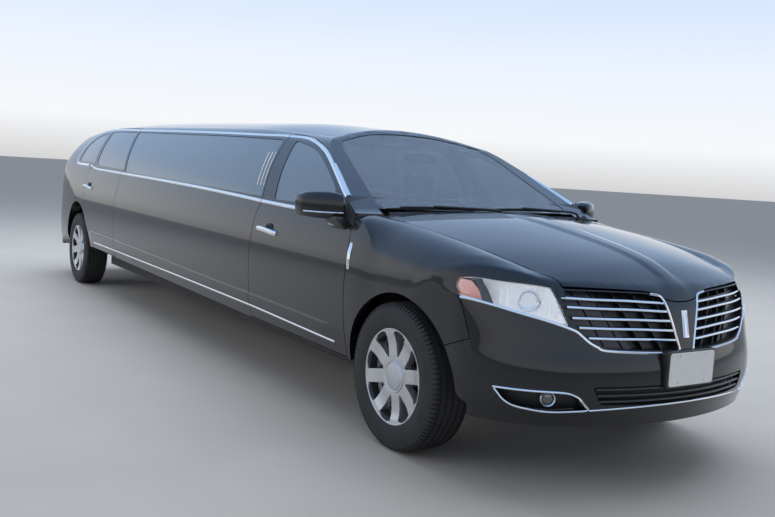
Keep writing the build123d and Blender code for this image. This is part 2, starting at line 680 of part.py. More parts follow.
def rear_suspension():
    """Cross beam, trailing arms, hub carriers and springs of the rear axle."""
    frame = slab(rx(-160), rx(-60) - SEAT_GAP, -560, 560, 330, 400)
    for side in (-1, 1):
        hub_len = HUB_FACE_Y - REAR_HUB_Y
        frame += Location((X_REAR, side * (HUB_FACE_Y - hub_len / 2), TYRE_R), (90, 0, 0)) * Cylinder(46, hub_len)
        frame += Location((X_REAR, side * (HUB_FACE_Y - 6), TYRE_R), (90, 0, 0)) * Cylinder(72, 12)
        frame += slab(rx(-20), rx(620), side * 560, side * 610, 300, 350)
        tall = AXLE_FLOOR_Z - SEAT_GAP - 340
        frame += Pos(rx(-110), side * 585, AXLE_FLOOR_Z - SEAT_GAP - tall / 2) * Cylinder(46, tall)
        frame += slab(rx(-160), rx(20), side * 540, side * 630, 320, 356)
    return frame


RAIL_Y0 = 400.0
RAIL_Y1 = 480.0
FLOOR_HALF = 784.1
SHAFT_ROOM = 105.0
GEAR_ROOM = 180.0
GEAR_ROOM_X = fx(-1050)
AXLE_FLOOR_Z = 520.0
KICK_X = rx(760)
REAR_FLOOR_X = rx(780)
RAIL_HIGH = 90.0
SILL_FOOT_Z = 285.0
SILL_TOP_Z = 430.0
SILL_IN_Y = 700.0
HOUSE_IN_Y = 640.0
HOUSE_OUT_Y = 816.0
HOUSE_WALL = 12.0
CABIN_FRONT = fx(HINGE_S - FIREWALL_T) - SEAT_GAP


def floor_pan():
    """Floor with centre tunnel, kicked up over the rear axle, two rails, sills and rear wheelhouses."""
    t = FLOOR_T
    z = FLOOR_Z
    high = AXLE_FLOOR_Z
    tail = rx(-1130)
    flat = [
        (CABIN_FRONT, z), (KICK_X, z), (KICK_X - 160, high), (tail, high),
        (tail, high + t), (KICK_X - 170, high + t), (KICK_X - 10, z + t), (CABIN_FRONT, z + t),
    ]
    start = Plane(origin=(0, FLOOR_HALF, 0), x_dir=(1, 0, 0), z_dir=(0, -1, 0))
    pan = extrude(start * make_face(Polyline(*flat, close=True)), amount=2 * FLOOR_HALF)
    for side in (-1, 1):
        pan -= slab(rx(-520), rx(520), side * HOUSE_IN_Y, side * 1000, 200, 900)
    for x0, r in ((KICK_X, SHAFT_ROOM), (GEAR_ROOM_X, GEAR_ROOM)):
        wall = Location(((x0 + CABIN_FRONT) / 2, 0, z), (0, 90, 0)) * Cylinder(r + t, CABIN_FRONT - x0)
        pan += wall & slab(x0, CABIN_FRONT, -r - t, r + t, z, z + r + t)
    for x0, r in ((KICK_X - 60, SHAFT_ROOM), (GEAR_ROOM_X + t, GEAR_ROOM)):
        pan -= Location(((x0 + fx(HINGE_S)) / 2, 0, z), (0, 90, 0)) * Cylinder(r, fx(HINGE_S) - x0)
    kick = [(KICK_X, BELLY_Z), (KICK_X, z), (KICK_X - 160, high), (KICK_X - 200, high - RAIL_HIGH),
            (KICK_X - 60, BELLY_Z)]
    for side in (-1, 1):
        pan += slab(KICK_X - 60, CABIN_FRONT, side * RAIL_Y0, side * RAIL_Y1, BELLY_Z, z)
        pan += slab(tail + 10, KICK_X - 160, side * RAIL_Y0, side * RAIL_Y1, high - RAIL_HIGH, high)
        rail = Plane(origin=(0, side * RAIL_Y0, 0), x_dir=(1, 0, 0), z_dir=(0, side, 0))
        outline = [(x, side * h * -1) for x, h in kick]
        pan += extrude(rail * make_face(Polyline(*outline, close=True)), amount=RAIL_Y1 - RAIL_Y0)
        pan += slab(KICK_X - 60, CABIN_FRONT, side * SILL_IN_Y, side * FLOOR_HALF, SILL_FOOT_Z, SILL_TOP_Z)
        house = arch(REAR_ARCH_Z, rx(0), WHEEL_ARCH_R + HOUSE_WALL, side, HOUSE_IN_Y)
        house -= arch(REAR_ARCH_Z, rx(0), WHEEL_ARCH_R, side, HOUSE_IN_Y + HOUSE_WALL)
        pan += house & slab(rx(-600), rx(600), side * HOUSE_IN_Y, side * HOUSE_OUT_Y, high - 100, 1000)
    pan -= slab(KICK_X - 380, KICK_X + 140, -SHAFT_ROOM, SHAFT_ROOM, 300, z + SHAFT_ROOM)
    pan = pan & tail_block(TAIL_WALL + SEAT_GAP)
    front = pan & slab(REAR_FLOOR_X, fx(0), -1000, 1000, 100, 1200)
    rear = pan & slab(rx(-1400), REAR_FLOOR_X, -1000, 1000, 100, 1200)
    return biggest(front), biggest(rear)


def front_frame():
    """Two rails ahead of the firewall, strut towers, radiator panel and bumper beam."""
    frame = slab(fx(790), fx(830), -600, 600, 440, 560)
    frame += slab(fx(690), fx(730), -520, 520, 430, PANEL_TOP_Z)
    top = STRUT_TOP_Z + 22
    for side in (-1, 1):
        y0 = side * RAIL_Y0
        frame += slab(fx(HINGE_S) + SEAT_GAP, fx(800), y0, side * RAIL_Y1, 430, 530)
        frame += slab(fx(-110), fx(110), y0, side * (KING_HIGH_Y + 80), STRUT_TOP_Z + SEAT_GAP, top)
        frame += slab(fx(-110), fx(110), y0, side * (RAIL_Y0 + 18), 500, top)
        for x in (fx(-230), fx(150)):
            frame += slab(x, x + 80, y0, side * RAIL_Y1, SUBFRAME_TOP_Z + SEAT_GAP, 430)
    return frame


def pipe(points, r, radius):
    """Round tube along straight runs joined by arcs."""
    path = FilletPolyline(*points, radius=radius)
    ring = Plane(origin=path @ 0, z_dir=path % 0) * Circle(r)
    return sweep(ring, path=path)


def exhaust():
    """Pipe with a silencer under the cabin, a rise over the rear axle and a tail box with its tip."""
    line = pipe([(fx(-300), 150, 300), (fx(-900), 240, 282), (rx(900), 240, 282), (rx(500), 260, 300)], 30, 120)
    box = fillet((Pos(fx(-2400), 240, 285) * Box(620, 200, 90)).edges().filter_by(Axis.X), radius=40)
    tail = fillet((Pos(rx(-850), 245, 395) * Box(300, 280, 120)).edges().filter_by(Axis.X), radius=50)
    rise = pipe([(rx(500), 260, 300), (rx(330), 300, 434), (rx(-350), 300, 438), (rx(-760), 260, 400)], 27, 80)
    tip = pipe([(rx(-950), 300, 385), (rx(-1040), 350, 312), (rx(-1150), 365, 284)], 30, 60)
    hangers = slab(fx(-2415), fx(-2385), 225, 255, 320, FLOOR_Z - SEAT_GAP)
    hangers += slab(rx(-865), rx(-835), 230, 260, 445, AXLE_FLOOR_Z - SEAT_GAP)
    return (line + box + rise + tail + tip + hangers).solids()


def drivetrain():
    """Gearbox, propeller shaft, final drive and half shafts."""
    gear = loft([Plane.YZ.offset(x) * Pos(0, z) * Rectangle(w, h) for x, z, w, h in (
        (fx(-50) - SEAT_GAP, 520, 330, 290), (fx(-420), 400, 180, 170), (fx(-800), 385, 130, 130))], ruled=True)
    shaft = Location(((fx(-800) + rx(140)) / 2, 0, 380), (0, 90, 0)) * Cylinder(38, fx(-800) - rx(140))
    last = Pos(rx(45), 0, 372) * Box(210, 220, 170)
    half_shafts = Location((X_REAR, 0, TYRE_R), (90, 0, 0)) * Cylinder(18, 2 * (REAR_HUB_Y - SEAT_GAP))
    return gear + shaft + last + half_shafts


def engine():
    """Plain block of the engine's size, ahead of the gearbox."""
    return slab(fx(-50), fx(560), -330, 330, 440, 960)


TANK_LONG = 1150.0
TANK_WIDE = 255.0
TANK_HIGH = 105.0


def tank():
    """Flat fuel tank between the shaft tunnel and the right rail."""
    body = Pos(rx(1350), -262, FLOOR_Z - SEAT_GAP - TANK_HIGH / 2) * Box(TANK_LONG, TANK_WIDE, TANK_HIGH)
    return fillet(body.edges().filter_by(Axis.X), radius=30)


def seat(x, y, wide, z=FLOOR_Z + FLOOR_T):
    """One front seat: base, cushion, leaning back and head rest."""
    base = Pos(x, y, z + 70) * Box(420, wide - 120, 140)
    cushion = fillet((Pos(x, y, z + 220) * Box(520, wide, 160)).edges(), radius=45)
    back = Location((x - 300, y, z + 520), (0, -16, 0)) * fillet(Box(140, wide - 20, 640).edges(), radius=45)
    head = Location((x - 395, y, z + 900), (0, -12, 0)) * fillet(Box(95, 260, 190).edges(), radius=35)
    post = Location((x - 378, y, z + 810), (0, -14, 0)) * Box(18, 130, 160)
    return base + cushion + back + head + post


SEAT_HIGH = 380.0
SEAT_DEEP = 450.0
BACK_HIGH = 380.0
BACK_T = 130.0
LOUNGE_FRONT = fx(-2250)
LOUNGE_REAR = rx(910)
LOUNGE_OUT_Y = 770.0


def lounge():
    """Long side bench on the left with a wide seat across the rear, over the sill and the shaft tunnel."""
    z = FLOOR_Z + FLOOR_T
    seat_z = z + SEAT_HIGH
    out = LOUNGE_OUT_Y
    inner = out - SEAT_DEEP - 70
    bench = slab(LOUNGE_REAR, LOUNGE_FRONT, inner, out, z, seat_z)
    bench += slab(LOUNGE_REAR, LOUNGE_FRONT, out - BACK_T, out, seat_z, seat_z + BACK_HIGH)
    bench += slab(LOUNGE_REAR - 60, LOUNGE_REAR + SEAT_DEEP - 50, -620, inner, z, seat_z)
    bench += slab(LOUNGE_REAR - BACK_T, LOUNGE_REAR, -620, out, REAR_SEAT_Z, seat_z + BACK_HIGH + 40)
    room = SHAFT_ROOM + FLOOR_T + 5
    bench -= slab(rx(700), rx(1400), -room, room, z, FLOOR_Z + room)
    sill_y = SILL_IN_Y - SEAT_GAP
    return bench - slab(rx(700), LOUNGE_FRONT + 10, sill_y, out + 10, z - 10, SILL_TOP_Z + SEAT_GAP)


def dashboard():
    """Dashboard across the cabin with the middle console."""
    pts = [(CABIN_FRONT, 760), (CABIN_FRONT, 1100), (fx(-640), 1112), (fx(-830), 1085), (fx(-880), 1000),
           (fx(-850), 880), (fx(-700), 760)]
    start = Plane(origin=(0, DASH_HALF, 0), x_dir=(1, 0, 0), z_dir=(0, -1, 0))
    block = extrude(start * make_face(Polyline(*pts, close=True)), amount=2 * DASH_HALF)
    return block + slab(fx(-1000), fx(-600), -110, 110, FLOOR_Z + GEAR_ROOM + 70, 900)


DASH_HALF = 735.0


def steering_wheel():
    tilt = Location((fx(-985), 370, 990), (0, 66, 0))
    ring = tilt * Torus(185, 15)
    bar = tilt * Box(30, 350, 12) + tilt * Cylinder(55, 40)
    column = tilt * (Pos(0, 0, 75) * Cylinder(26, 130))
    return (ring + bar + column) - dashboard()


# Sections of the right mirror's housing: y, middle x, middle z, width along X, height.
MIRROR = (
    (-925, fx(-628), 1172, 118, 122),
    (-955, fx(-642), 1172, 142, 144),
    (-1030, fx(-690), 1172, 152, 148),
    (-1082, fx(-736), 1170, 128, 134),
    (-1108, fx(-758), 1168, 84, 96),
)
MIRROR_FOOT = [(-895, 1020), (-975, 1085), (-985, 1120), (-940, 1120), (-895, 1085)]


def mirror_head():
    """Right mirror: housing swept back to its tip, on a foot that stands on the door."""
    heads = [Plane(origin=(x, y, z), x_dir=(1, 0, 0), z_dir=(0, 1, 0)) * RectangleRounded(dx, dz, 38)
             for y, x, z, dx, dz in MIRROR]
    foot = prism_yz(MIRROR_FOOT, fx(-690), fx(-520))
    whole = loft(heads, ruled=True) + foot
    return biggest(whole - cabin_loft(-SEAT_GAP, -SEAT_GAP, -SEAT_GAP))


WIPER_R = 7.0
WIPER_Z = (1196.0, 1216.0, 1208.0)


def wipers():
    """Two wiper blades that lie on the windscreen."""
    blades = []
    (s0, z0, bow_r), (s1, z1, _) = SCREEN_BASE, SCREEN_TOP
    run = (s1 - s0) / (z1 - z0)
    for y0, y1 in ((60, -600), (640, 0)):
        sag = ((y0 - y1) / 4) ** 2 / (2 * bow_r)
        lift = (WIPER_R + SEAT_GAP) / sin(atan2(1, -run)) + sag - GLASS_SET
        route = zip((y0, 0.5 * (y0 + y1), y1), WIPER_Z)
        places = [(fx(s0 + run * (z - z0) + lift - y * y / (2 * bow_r)), y, z) for y, z in route]
        blades.append(pipe(places, WIPER_R, 200))
    return blades


def front_plate():
    """Bare plate on its flat bracket before the bumper."""
    x = fx(FRONT_OVERHANG)
    plate = slab(x - PLATE_T, x, -PLATE_W / 2, PLATE_W / 2, PLATE_Z - PLATE_H / 2, PLATE_Z + PLATE_H / 2)
    bracket = slab(x - 60, x - PLATE_T, -PLATE_W / 2 - 8, PLATE_W / 2 + 8,
                   PLATE_Z - PLATE_H / 2 - 6, PLATE_Z + PLATE_H / 2 + 6)
    return plate + biggest(bracket - front_solid(-SEAT_GAP))


def everything():
    cabin_panels()
    front_panels()
    for end, x in (("front", X_FRONT), ("rear", X_REAR)):
        for name, side in SIDES:
            save("tyre_%s_%s" % (end, name), tyre(x, side))
            save("rim_%s_%s" % (end, name), rim(x, side))
    for name, side in SIDES:
        save("knuckle_" + name, knuckle(side))
    save_pair("mirror", mirror_head())
    save("front_suspension", front_suspension())
    save("rear_suspension", rear_suspension())
    front_floor, rear_floor = floor_pan()
    save("floor_pan", front_floor)
    save("rear_floor", rear_floor)
    save("front_frame", front_frame())
    save("exhaust", exhaust())
    save("drivetrain", drivetrain())
    save("fuel_tank", tank())
    save("engine_block", engine())
    save("front_seats", [seat(fx(-1330), y, 520) for y in (-370, 370)])
    save("lounge_seat", lounge())
    save("dashboard", dashboard())
    save("steering_wheel", steering_wheel())
    save("wipers", wipers())
    save("number_plate", front_plate())


everything()
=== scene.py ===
"""Looks of the stretch limousine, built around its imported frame: tables in millimetres, meshes in metres."""

import json
import math
from contextlib import contextmanager

import bpy
from mathutils import Matrix, Vector
from mathutils.bvhtree import BVHTree

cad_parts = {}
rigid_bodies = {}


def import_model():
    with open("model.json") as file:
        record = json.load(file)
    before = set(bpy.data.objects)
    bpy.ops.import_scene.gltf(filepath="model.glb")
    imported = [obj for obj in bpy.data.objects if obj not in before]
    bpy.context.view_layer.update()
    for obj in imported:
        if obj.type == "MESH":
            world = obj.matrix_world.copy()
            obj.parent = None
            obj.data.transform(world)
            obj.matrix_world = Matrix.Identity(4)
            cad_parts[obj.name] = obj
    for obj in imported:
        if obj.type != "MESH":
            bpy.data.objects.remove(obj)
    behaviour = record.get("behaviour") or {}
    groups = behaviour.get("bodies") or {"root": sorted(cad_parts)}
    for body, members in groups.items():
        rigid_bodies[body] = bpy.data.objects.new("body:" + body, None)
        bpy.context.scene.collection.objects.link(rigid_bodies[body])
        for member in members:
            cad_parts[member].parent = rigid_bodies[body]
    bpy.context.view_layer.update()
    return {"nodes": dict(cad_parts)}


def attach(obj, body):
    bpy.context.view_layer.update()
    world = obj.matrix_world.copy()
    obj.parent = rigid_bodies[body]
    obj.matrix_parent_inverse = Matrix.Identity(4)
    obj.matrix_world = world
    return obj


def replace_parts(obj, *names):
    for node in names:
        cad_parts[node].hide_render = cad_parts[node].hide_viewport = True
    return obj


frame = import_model()

bl_info = {
    "name": "Stretch Limousine",
    "version": (1, 0, 0),
    "blender": (4, 5, 0),
    "location": "3D View > Sidebar > Limousine",
    "description": "Builds the panels, glass, bright trim, wheels, lamps and cabin of a stretch limousine",
    "category": "Object",
}

MM = 0.001
WHEELBASE = 6043.0
X_FRONT = 3120.5
X_REAR = X_FRONT - WHEELBASE
HALF_WIDTH = 965.0
TRACK = 1660.0
TYRE_R = 369.6
END = X_REAR - 1400.0
HINGE_S = -455.0
COWL_Z = 1147.0
MERGE = 0.00002
SIDES = (("right", -1), ("left", 1))


def fx(s):
    """Place along X of a point s mm ahead of the front axle."""
    return X_FRONT + s


def rx(s):
    """Place along X of a point s mm ahead of the rear axle."""
    return X_REAR + s


# Plain helpers: selection, curves and tables

def clear_selection():
    """Leaves no object selected."""
    for other in bpy.context.selected_objects:
        other.select_set(False)


def only(obj):
    """Makes obj the one selected and active object."""
    clear_selection()
    obj.select_set(True)
    bpy.context.view_layer.objects.active = obj
    return obj


def named(obj, name):
    """Gives obj a name and hands it back."""
    obj.name = name
    return obj


def fresh(name):
    """Names the primitive that was just added."""
    obj = named(bpy.context.active_object, name)
    obj.data.name = name
    return obj


@contextmanager
def editing(obj):
    """Edit mode with the whole mesh selected."""
    only(obj)
    bpy.ops.object.mode_set(mode="EDIT")
    bpy.ops.mesh.select_all(action="SELECT")
    yield
    bpy.ops.object.mode_set(mode="OBJECT")


def outward(merge=None):
    """Merges doubles where asked, then turns every face of the edited mesh outwards."""
    bpy.ops.mesh.select_all(action="SELECT")
    if merge:
        bpy.ops.mesh.remove_doubles(threshold=merge)
    bpy.ops.mesh.normals_make_consistent(inside=False)


def put(obj, points):
    """Gives obj's vertices their places, from points in millimetres."""
    flat = [c * MM for p in points for c in p]
    obj.data.vertices.foreach_set("co", flat)
    obj.data.update()
    return obj


def volume(name, rings):
    """Closed body through rings of points, each ring closed, with flat ends."""
    across = len(rings[0])
    clear_selection()
    bpy.ops.mesh.primitive_grid_add(x_subdivisions=across, y_subdivisions=len(rings) - 1)
    obj = fresh(name)
    put(obj, [p for ring in rings for p in list(ring) + [ring[0]]])
    with editing(obj):
        bpy.ops.mesh.remove_doubles(threshold=MERGE)
        bpy.ops.mesh.fill_holes(sides=0)
        outward()
    return obj


def prism(outline, way):
    """Outline of points in space, pushed along the vector way, all in millimetres."""
    clear_selection()
    bpy.ops.mesh.primitive_circle_add(vertices=len(outline), fill_type="NGON")
    obj = fresh("cutter")
    put(obj, outline)
    with editing(obj):
        bpy.ops.mesh.extrude_region_move(TRANSFORM_OT_translate={"value": [c * MM for c in way]})
        outward()
    return obj


def turned(name, profile, steps, place=None):
    """Body of revolution about Z from a profile of radius and height in millimetres."""
    clear_selection()
    bpy.ops.mesh.primitive_circle_add(vertices=len(profile), fill_type="NOTHING")
    obj = fresh(name)
    put(obj, [(r, 0, z) for r, z in profile])
    with editing(obj):
        bpy.ops.mesh.spin(steps=steps, angle=2 * math.pi, center=(0, 0, 0), axis=(0, 0, 1))
        outward(1.5 * MERGE)
    if place:
        obj.data.transform(place)
    return obj


def side_prism(outline, side=-1, inner=300.0, lean=0.0):
    """Cutter through one side of the car; lean moves it forward as it goes inward."""
    outer = HALF_WIDTH + 60
    start = [(x - (outer - side_y(z, x)) * lean if lean else x, side * outer, z) for x, z in outline]
    return prism(start, ((outer - inner) * lean, -side * (outer - inner), 0))


def face_prism(outline, x0, x1, side=1):
    """Cutter along X through an outline of y and z."""
    return prism([(x0, side * y, z) for y, z in outline], (x1 - x0, 0, 0))


def plan_prism(outline, z0, z1):
    """Cutter along Z through an outline of x and y."""
    return prism([(x, y, z0) for x, y in outline], (0, 0, z1 - z0))


def block(x0, x1, y0, y1, z0, z1):
    """Box between two places along each axis."""
    return prism([(x0, y0, z0), (x1, y0, z0), (x1, y1, z0), (x0, y1, z0)], (0, 0, z1 - z0))


def moved(x, y, z):
    """Matrix that moves by millimetres."""
    return Matrix.Translation((x * MM, y * MM, z * MM))


def tilted(degrees, axis):
    """Matrix that turns about an axis through the origin."""
    return Matrix.Rotation(math.radians(degrees), 4, axis)


def aimed(spot, way):
    """Matrix that lays the Z axis along a direction, at a spot in millimetres."""
    return Matrix.Translation(Vector(spot) * MM) @ Vector(way).to_track_quat("Z", "Y").to_matrix().to_4x4()


def twin(obj, name):
    """Copy of obj with its own mesh."""
    copy = obj.copy()
    copy.data = obj.data.copy()
    copy.name = name
    bpy.context.scene.collection.objects.link(copy)
    return copy


def mirrored(obj, name):
    """Copy of obj on the other side of the car."""
    copy = twin(obj, name)
    copy.data.transform(Matrix.Scale(-1, 4, (0, 1, 0)))
    copy.data.flip_normals()
    return copy


def carve(obj, tool, operation="DIFFERENCE", keep=False):
    """Boolean of obj with tool, applied at once."""
    only(obj)
    m = obj.modifiers.new("carve", "BOOLEAN")
    m.operation = operation
    m.solver = "MANIFOLD"
    m.object = tool
    bpy.ops.object.modifier_apply(modifier=m.name)
    if not keep:
        bpy.data.objects.remove(tool)
    if not obj.data.polygons:
        raise RuntimeError("nothing is left of " + obj.name)
    return obj


def within(obj, tool, keep=False):
    """What is left of obj inside tool."""
    return carve(obj, tool, "INTERSECT", keep)


def cut(obj, *tools):
    """What is left of obj outside all the tools."""
    for tool in tools:
        carve(obj, tool)
    return obj


def meet(obj, tool, rounds=14, reach=3):
    """What two bodies share, with the edge where their skins meet smoothed into a soft bend."""
    for index, one in enumerate((obj, tool)):
        one.data.materials.clear()
        one.data.materials.append(None)
        one.data.materials.append(None)
        one.data.polygons.foreach_set("material_index", [index] * len(one.data.polygons))
    within(obj, tool)
    faces = [set(), set()]
    for p in obj.data.polygons:
        faces[min(p.material_index, 1)].update(p.vertices)
    edge = faces[0] & faces[1]
    low = min(v.co.z for v in obj.data.vertices) + 30 * MM
    with editing(obj):
        bpy.ops.mesh.select_mode(type="VERT")
        bpy.ops.mesh.select_all(action="DESELECT")
    for v in obj.data.vertices:
        v.select = v.index in edge and v.co.z > low
    bpy.ops.object.mode_set(mode="EDIT")
    for _ in range(reach):
        bpy.ops.mesh.select_more()
    bpy.ops.object.mode_set(mode="OBJECT")
    for v in obj.data.vertices:
        if v.co.z < low:
            v.select = False
    bpy.ops.object.mode_set(mode="EDIT")
    bpy.ops.mesh.vertices_smooth(factor=0.5, repeat=rounds)
    bpy.ops.object.mode_set(mode="OBJECT")
    obj.data.materials.clear()
    return obj


def keep_biggest(obj):
    """Keeps the largest connected part."""
    name = obj.name
    with editing(obj):
        bpy.ops.mesh.separate(type="LOOSE")
    parts = sorted(bpy.context.selected_objects, key=lambda o: len(o.data.vertices))
    for part in parts[:-1]:
        bpy.data.objects.remove(part)
    parts[-1].name = name
    return parts[-1]


def join(objs, name):
    """Joins pieces into one object."""
    only(objs[0])
    for other in objs[1:]:
        other.select_set(True)
    bpy.ops.object.join()
    objs[0].name = name
    return objs[0]


def bevel(obj, width, segments=2, angle=40.0):
    """Rounds the edges of obj that are sharper than angle."""
    only(obj)
    m = obj.modifiers.new("bevel", "BEVEL")
    m.width = width * MM
    m.segments = segments
    m.limit_method = "ANGLE"
    m.angle_limit = math.radians(angle)
    bpy.ops.object.modifier_apply(modifier=m.name)
    return obj


def shade(obj, angle=30.0):
    """Smooth shading that keeps edges sharper than angle."""
    only(obj)
    bpy.ops.object.shade_smooth_by_angle(angle=math.radians(angle))
    return obj


def arc(p, q, r, count):
    """Points on the circle through three points of a plane, from p to r."""
    (ax, ay), (bx, by), (cx, cy) = p, q, r
    d = 2 * (ax * (by - cy) + bx * (cy - ay) + cx * (ay - by))
    if abs(d) < 1e-6:
        return [(ax + (cx - ax) * i / count, ay + (cy - ay) * i / count) for i in range(count + 1)]
    aa, bb, cc = ax * ax + ay * ay, bx * bx + by * by, cx * cx + cy * cy
    ux = (aa * (by - cy) + bb * (cy - ay) + cc * (ay - by)) / d
    uy = (aa * (cx - bx) + bb * (ax - cx) + cc * (bx - ax)) / d
    radius = math.hypot(ax - ux, ay - uy)
    t0, t1, t2 = (math.atan2(y - uy, x - ux) for x, y in (p, q, r))
    turn = (t2 - t0) % (2 * math.pi)
    if (t1 - t0) % (2 * math.pi) > turn:
        turn -= 2 * math.pi
    return [(ux + radius * math.cos(t0 + turn * i / count), uy + radius * math.sin(t0 + turn * i / count))
            for i in range(count + 1)]


def along(rows, x, column=1):
    """Smooth value of a table's column at x, through its rows."""
    rows = sorted(rows)
    last = len(rows) - 1
    i = max(0, min(last - 1, sum(1 for r in rows if r[0] <= x) - 1))
    slopes = []
    for k in (i, i + 1):
        a, b = rows[max(k - 1, 0)], rows[min(k + 1, last)]
        slopes.append((b[column] - a[column]) / (b[0] - a[0]))
    h = rows[i + 1][0] - rows[i][0]
    t = (x - rows[i][0]) / h
    y0, y1 = rows[i][column], rows[i + 1][column]
    if t < 0:
        return y0 + slopes[0] * h * t
    if t > 1:
        return y1 + slopes[1] * h * (t - 1)
    a, b = t * t * (3 - 2 * t), t * (1 - t)
    return y0 + (y1 - y0) * a + h * b * ((1 - t) * slopes[0] - t * slopes[1])


def levels(start, end, gap):
    """Even steps of about that gap from start to end."""
    count = round((end - start) / gap)
    return [start + (end - start) * i / count for i in range(count + 1)]


def step(a, b, x):
    """Smooth rise from 0 at a to 1 at b."""
    t = max(0.0, min(1.0, (x - a) / (b - a)))
    return t * t * (3 - 2 * t)


def softened(points, corner=18.0, steps=5):
    """Closed outline with gentle bends made into curves and sharp corners rounded a little."""
    result = []
    count = len(points)
    for i, p in enumerate(points):
        a, b = Vector(points[i - 1]), Vector(points[(i + 1) % count])
        p = Vector(p)
        u, v = a - p, b - p
        turn = math.pi - u.angle(v)
        reach = corner if turn > math.radians(38) else 0.49 * min(u.length, v.length)
        reach = min(reach, 0.49 * u.length, 0.49 * v.length)
        start, end = p + u.normalized() * reach, p + v.normalized() * reach
        for k in range(steps + 1):
            t = k / steps
            result.append(tuple(start * (1 - t) ** 2 + p * 2 * t * (1 - t) + end * t * t))
    return result


def grown(points, by):
    """Closed outline moved outward by that much, with mitred corners."""
    area = sum(p[0] * q[1] - q[0] * p[1] for p, q in zip(points, points[1:] + points[:1]))
    way = 1 if area > 0 else -1
    result = []
    for i, p in enumerate(points):
        a, b = Vector(points[i - 1]), Vector(points[(i + 1) % len(points)])
        p = Vector(p)
        e0, e1 = (p - a).normalized(), (b - p).normalized()
        n0, n1 = Vector((e0.y, -e0.x)) * way, Vector((e1.y, -e1.x)) * way
        n = n0 + n1
        result.append(tuple(p + n * (by / max(0.35, 0.5 * n.length_squared))))
    return result


def evenly(points, gap):
    """Points at even distances on a smooth line through points in space."""
    pts = [Vector(p) for p in points]
    dense = []
    for i in range(len(pts) - 1):
        a, b, c, d = pts[max(i - 1, 0)], pts[i], pts[i + 1], pts[min(i + 2, len(pts) - 1)]
        for k in range(12):
            t = k / 12
            dense.append(0.5 * (2 * b + (c - a) * t + (2 * a - 5 * b + 4 * c - d) * t * t
                                + (3 * b - a - 3 * c + d) * t ** 3))
    dense.append(pts[-1])
    total = sum((q - p).length for p, q in zip(dense, dense[1:]))
    count = max(2, round(total / gap))
    result, travelled, target = [dense[0]], 0.0, total / count
    for p, q in zip(dense, dense[1:]):
        span = (q - p).length
        while travelled + span >= target - 1e-9 and len(result) < count:
            result.append(p.lerp(q, (target - travelled) / max(span, 1e-9)))
            target += total / count
        travelled += span
    result.append(dense[-1])
    return result


def tube(name, points, radius, cyclic=False, flat=1.0, ends=True):
    """Round or flattened strip along points in millimetres."""
    clear_selection()
    bpy.ops.curve.primitive_nurbs_path_add()
    obj = fresh(name)
    curve = obj.data
    curve.splines.clear()
    spline = curve.splines.new("POLY")
    spline.points.add(len(points) - 1)
    spline.points.foreach_set("co", [c for p in points for c in (p[0] * MM, p[1] * MM, p[2] * MM, 1)])
    spline.use_cyclic_u = cyclic
    curve.dimensions = "3D"
    curve.bevel_depth = radius * MM
    curve.bevel_resolution = 3
    curve.use_fill_caps = ends
    only(obj)
    bpy.ops.object.convert(target="MESH")
    obj = bpy.context.active_object
    if flat != 1.0:
        obj.scale = (1, 1, flat)
        bpy.ops.object.transform_apply(location=True, rotation=True, scale=True)
    return obj


# Outer form: the sections of the frame's source, with a crease low on the side, a raised middle on the
# bonnet and a shoulder that rises to the pillar's foot

CANT_Y = 700.0
ROOF_EDGE_Y = 560.0
BELT_Y = 900.0
SILL_Y = 905.0
BODY = (
    (fx(-300), 1590, 1440), (fx(-1440), 1650, 1500), (fx(-2200), 1698, 1545), (fx(-2900), 1712, 1562),
    (rx(1000), 1732, 1592), (rx(100), 1716, 1585), (rx(-600), 1662, 1535), (rx(-1250), 1580, 1450),
)
TAIL = (
    (200, -1150), (330, -1178), (480, -1217), (650, -1238), (770, -1215),
    (1120, -1150), (1190, -1105), (1560, -850), (1760, -700),
)
FRONT = (
    (-640, 1182, 775, 1150), (-100, 1166, 752, 1108), (350, 1104, 722, 1046),
    (700, 1030, 660, 962), (900, 938, 640, 880), (1060, 830, 640, 780),
)
NOSE = (
    (200, 960), (325, 985), (430, 1022), (560, 1022), (650, 1003), (875, 950), (960, 905), (1250, 860),
)
SCREEN_BASE = (-470.0, 1157.0, 11000.0)
SCREEN_TOP = (-1419.0, 1640.0, 11000.0)
CREASE = ((fx(-455), 522), (fx(-1353), 536), (fx(-2518), 551), (fx(-3901), 577), (fx(-5367), 598))


def belt_z(x):
    """Height of the belt line, which rises towards the tail."""
    return 1145 + 70 * (fx(0) - x) / WHEELBASE


def side_y(z, x=0.0):
    """Half width of the skin at height z."""
    belt = belt_z(x)
    mid, half = 0.5 * (330 + belt), 0.5 * (belt - 330)
    if z <= belt:
        return HALF_WIDTH - (60 if z < mid else 65) * ((z - mid) / half) ** 2
    k = (z - belt) / (1570 - belt)
    return BELT_Y - 5 + (CANT_Y - BELT_Y + 5) * (0.72 * k + 0.28 * k * k)


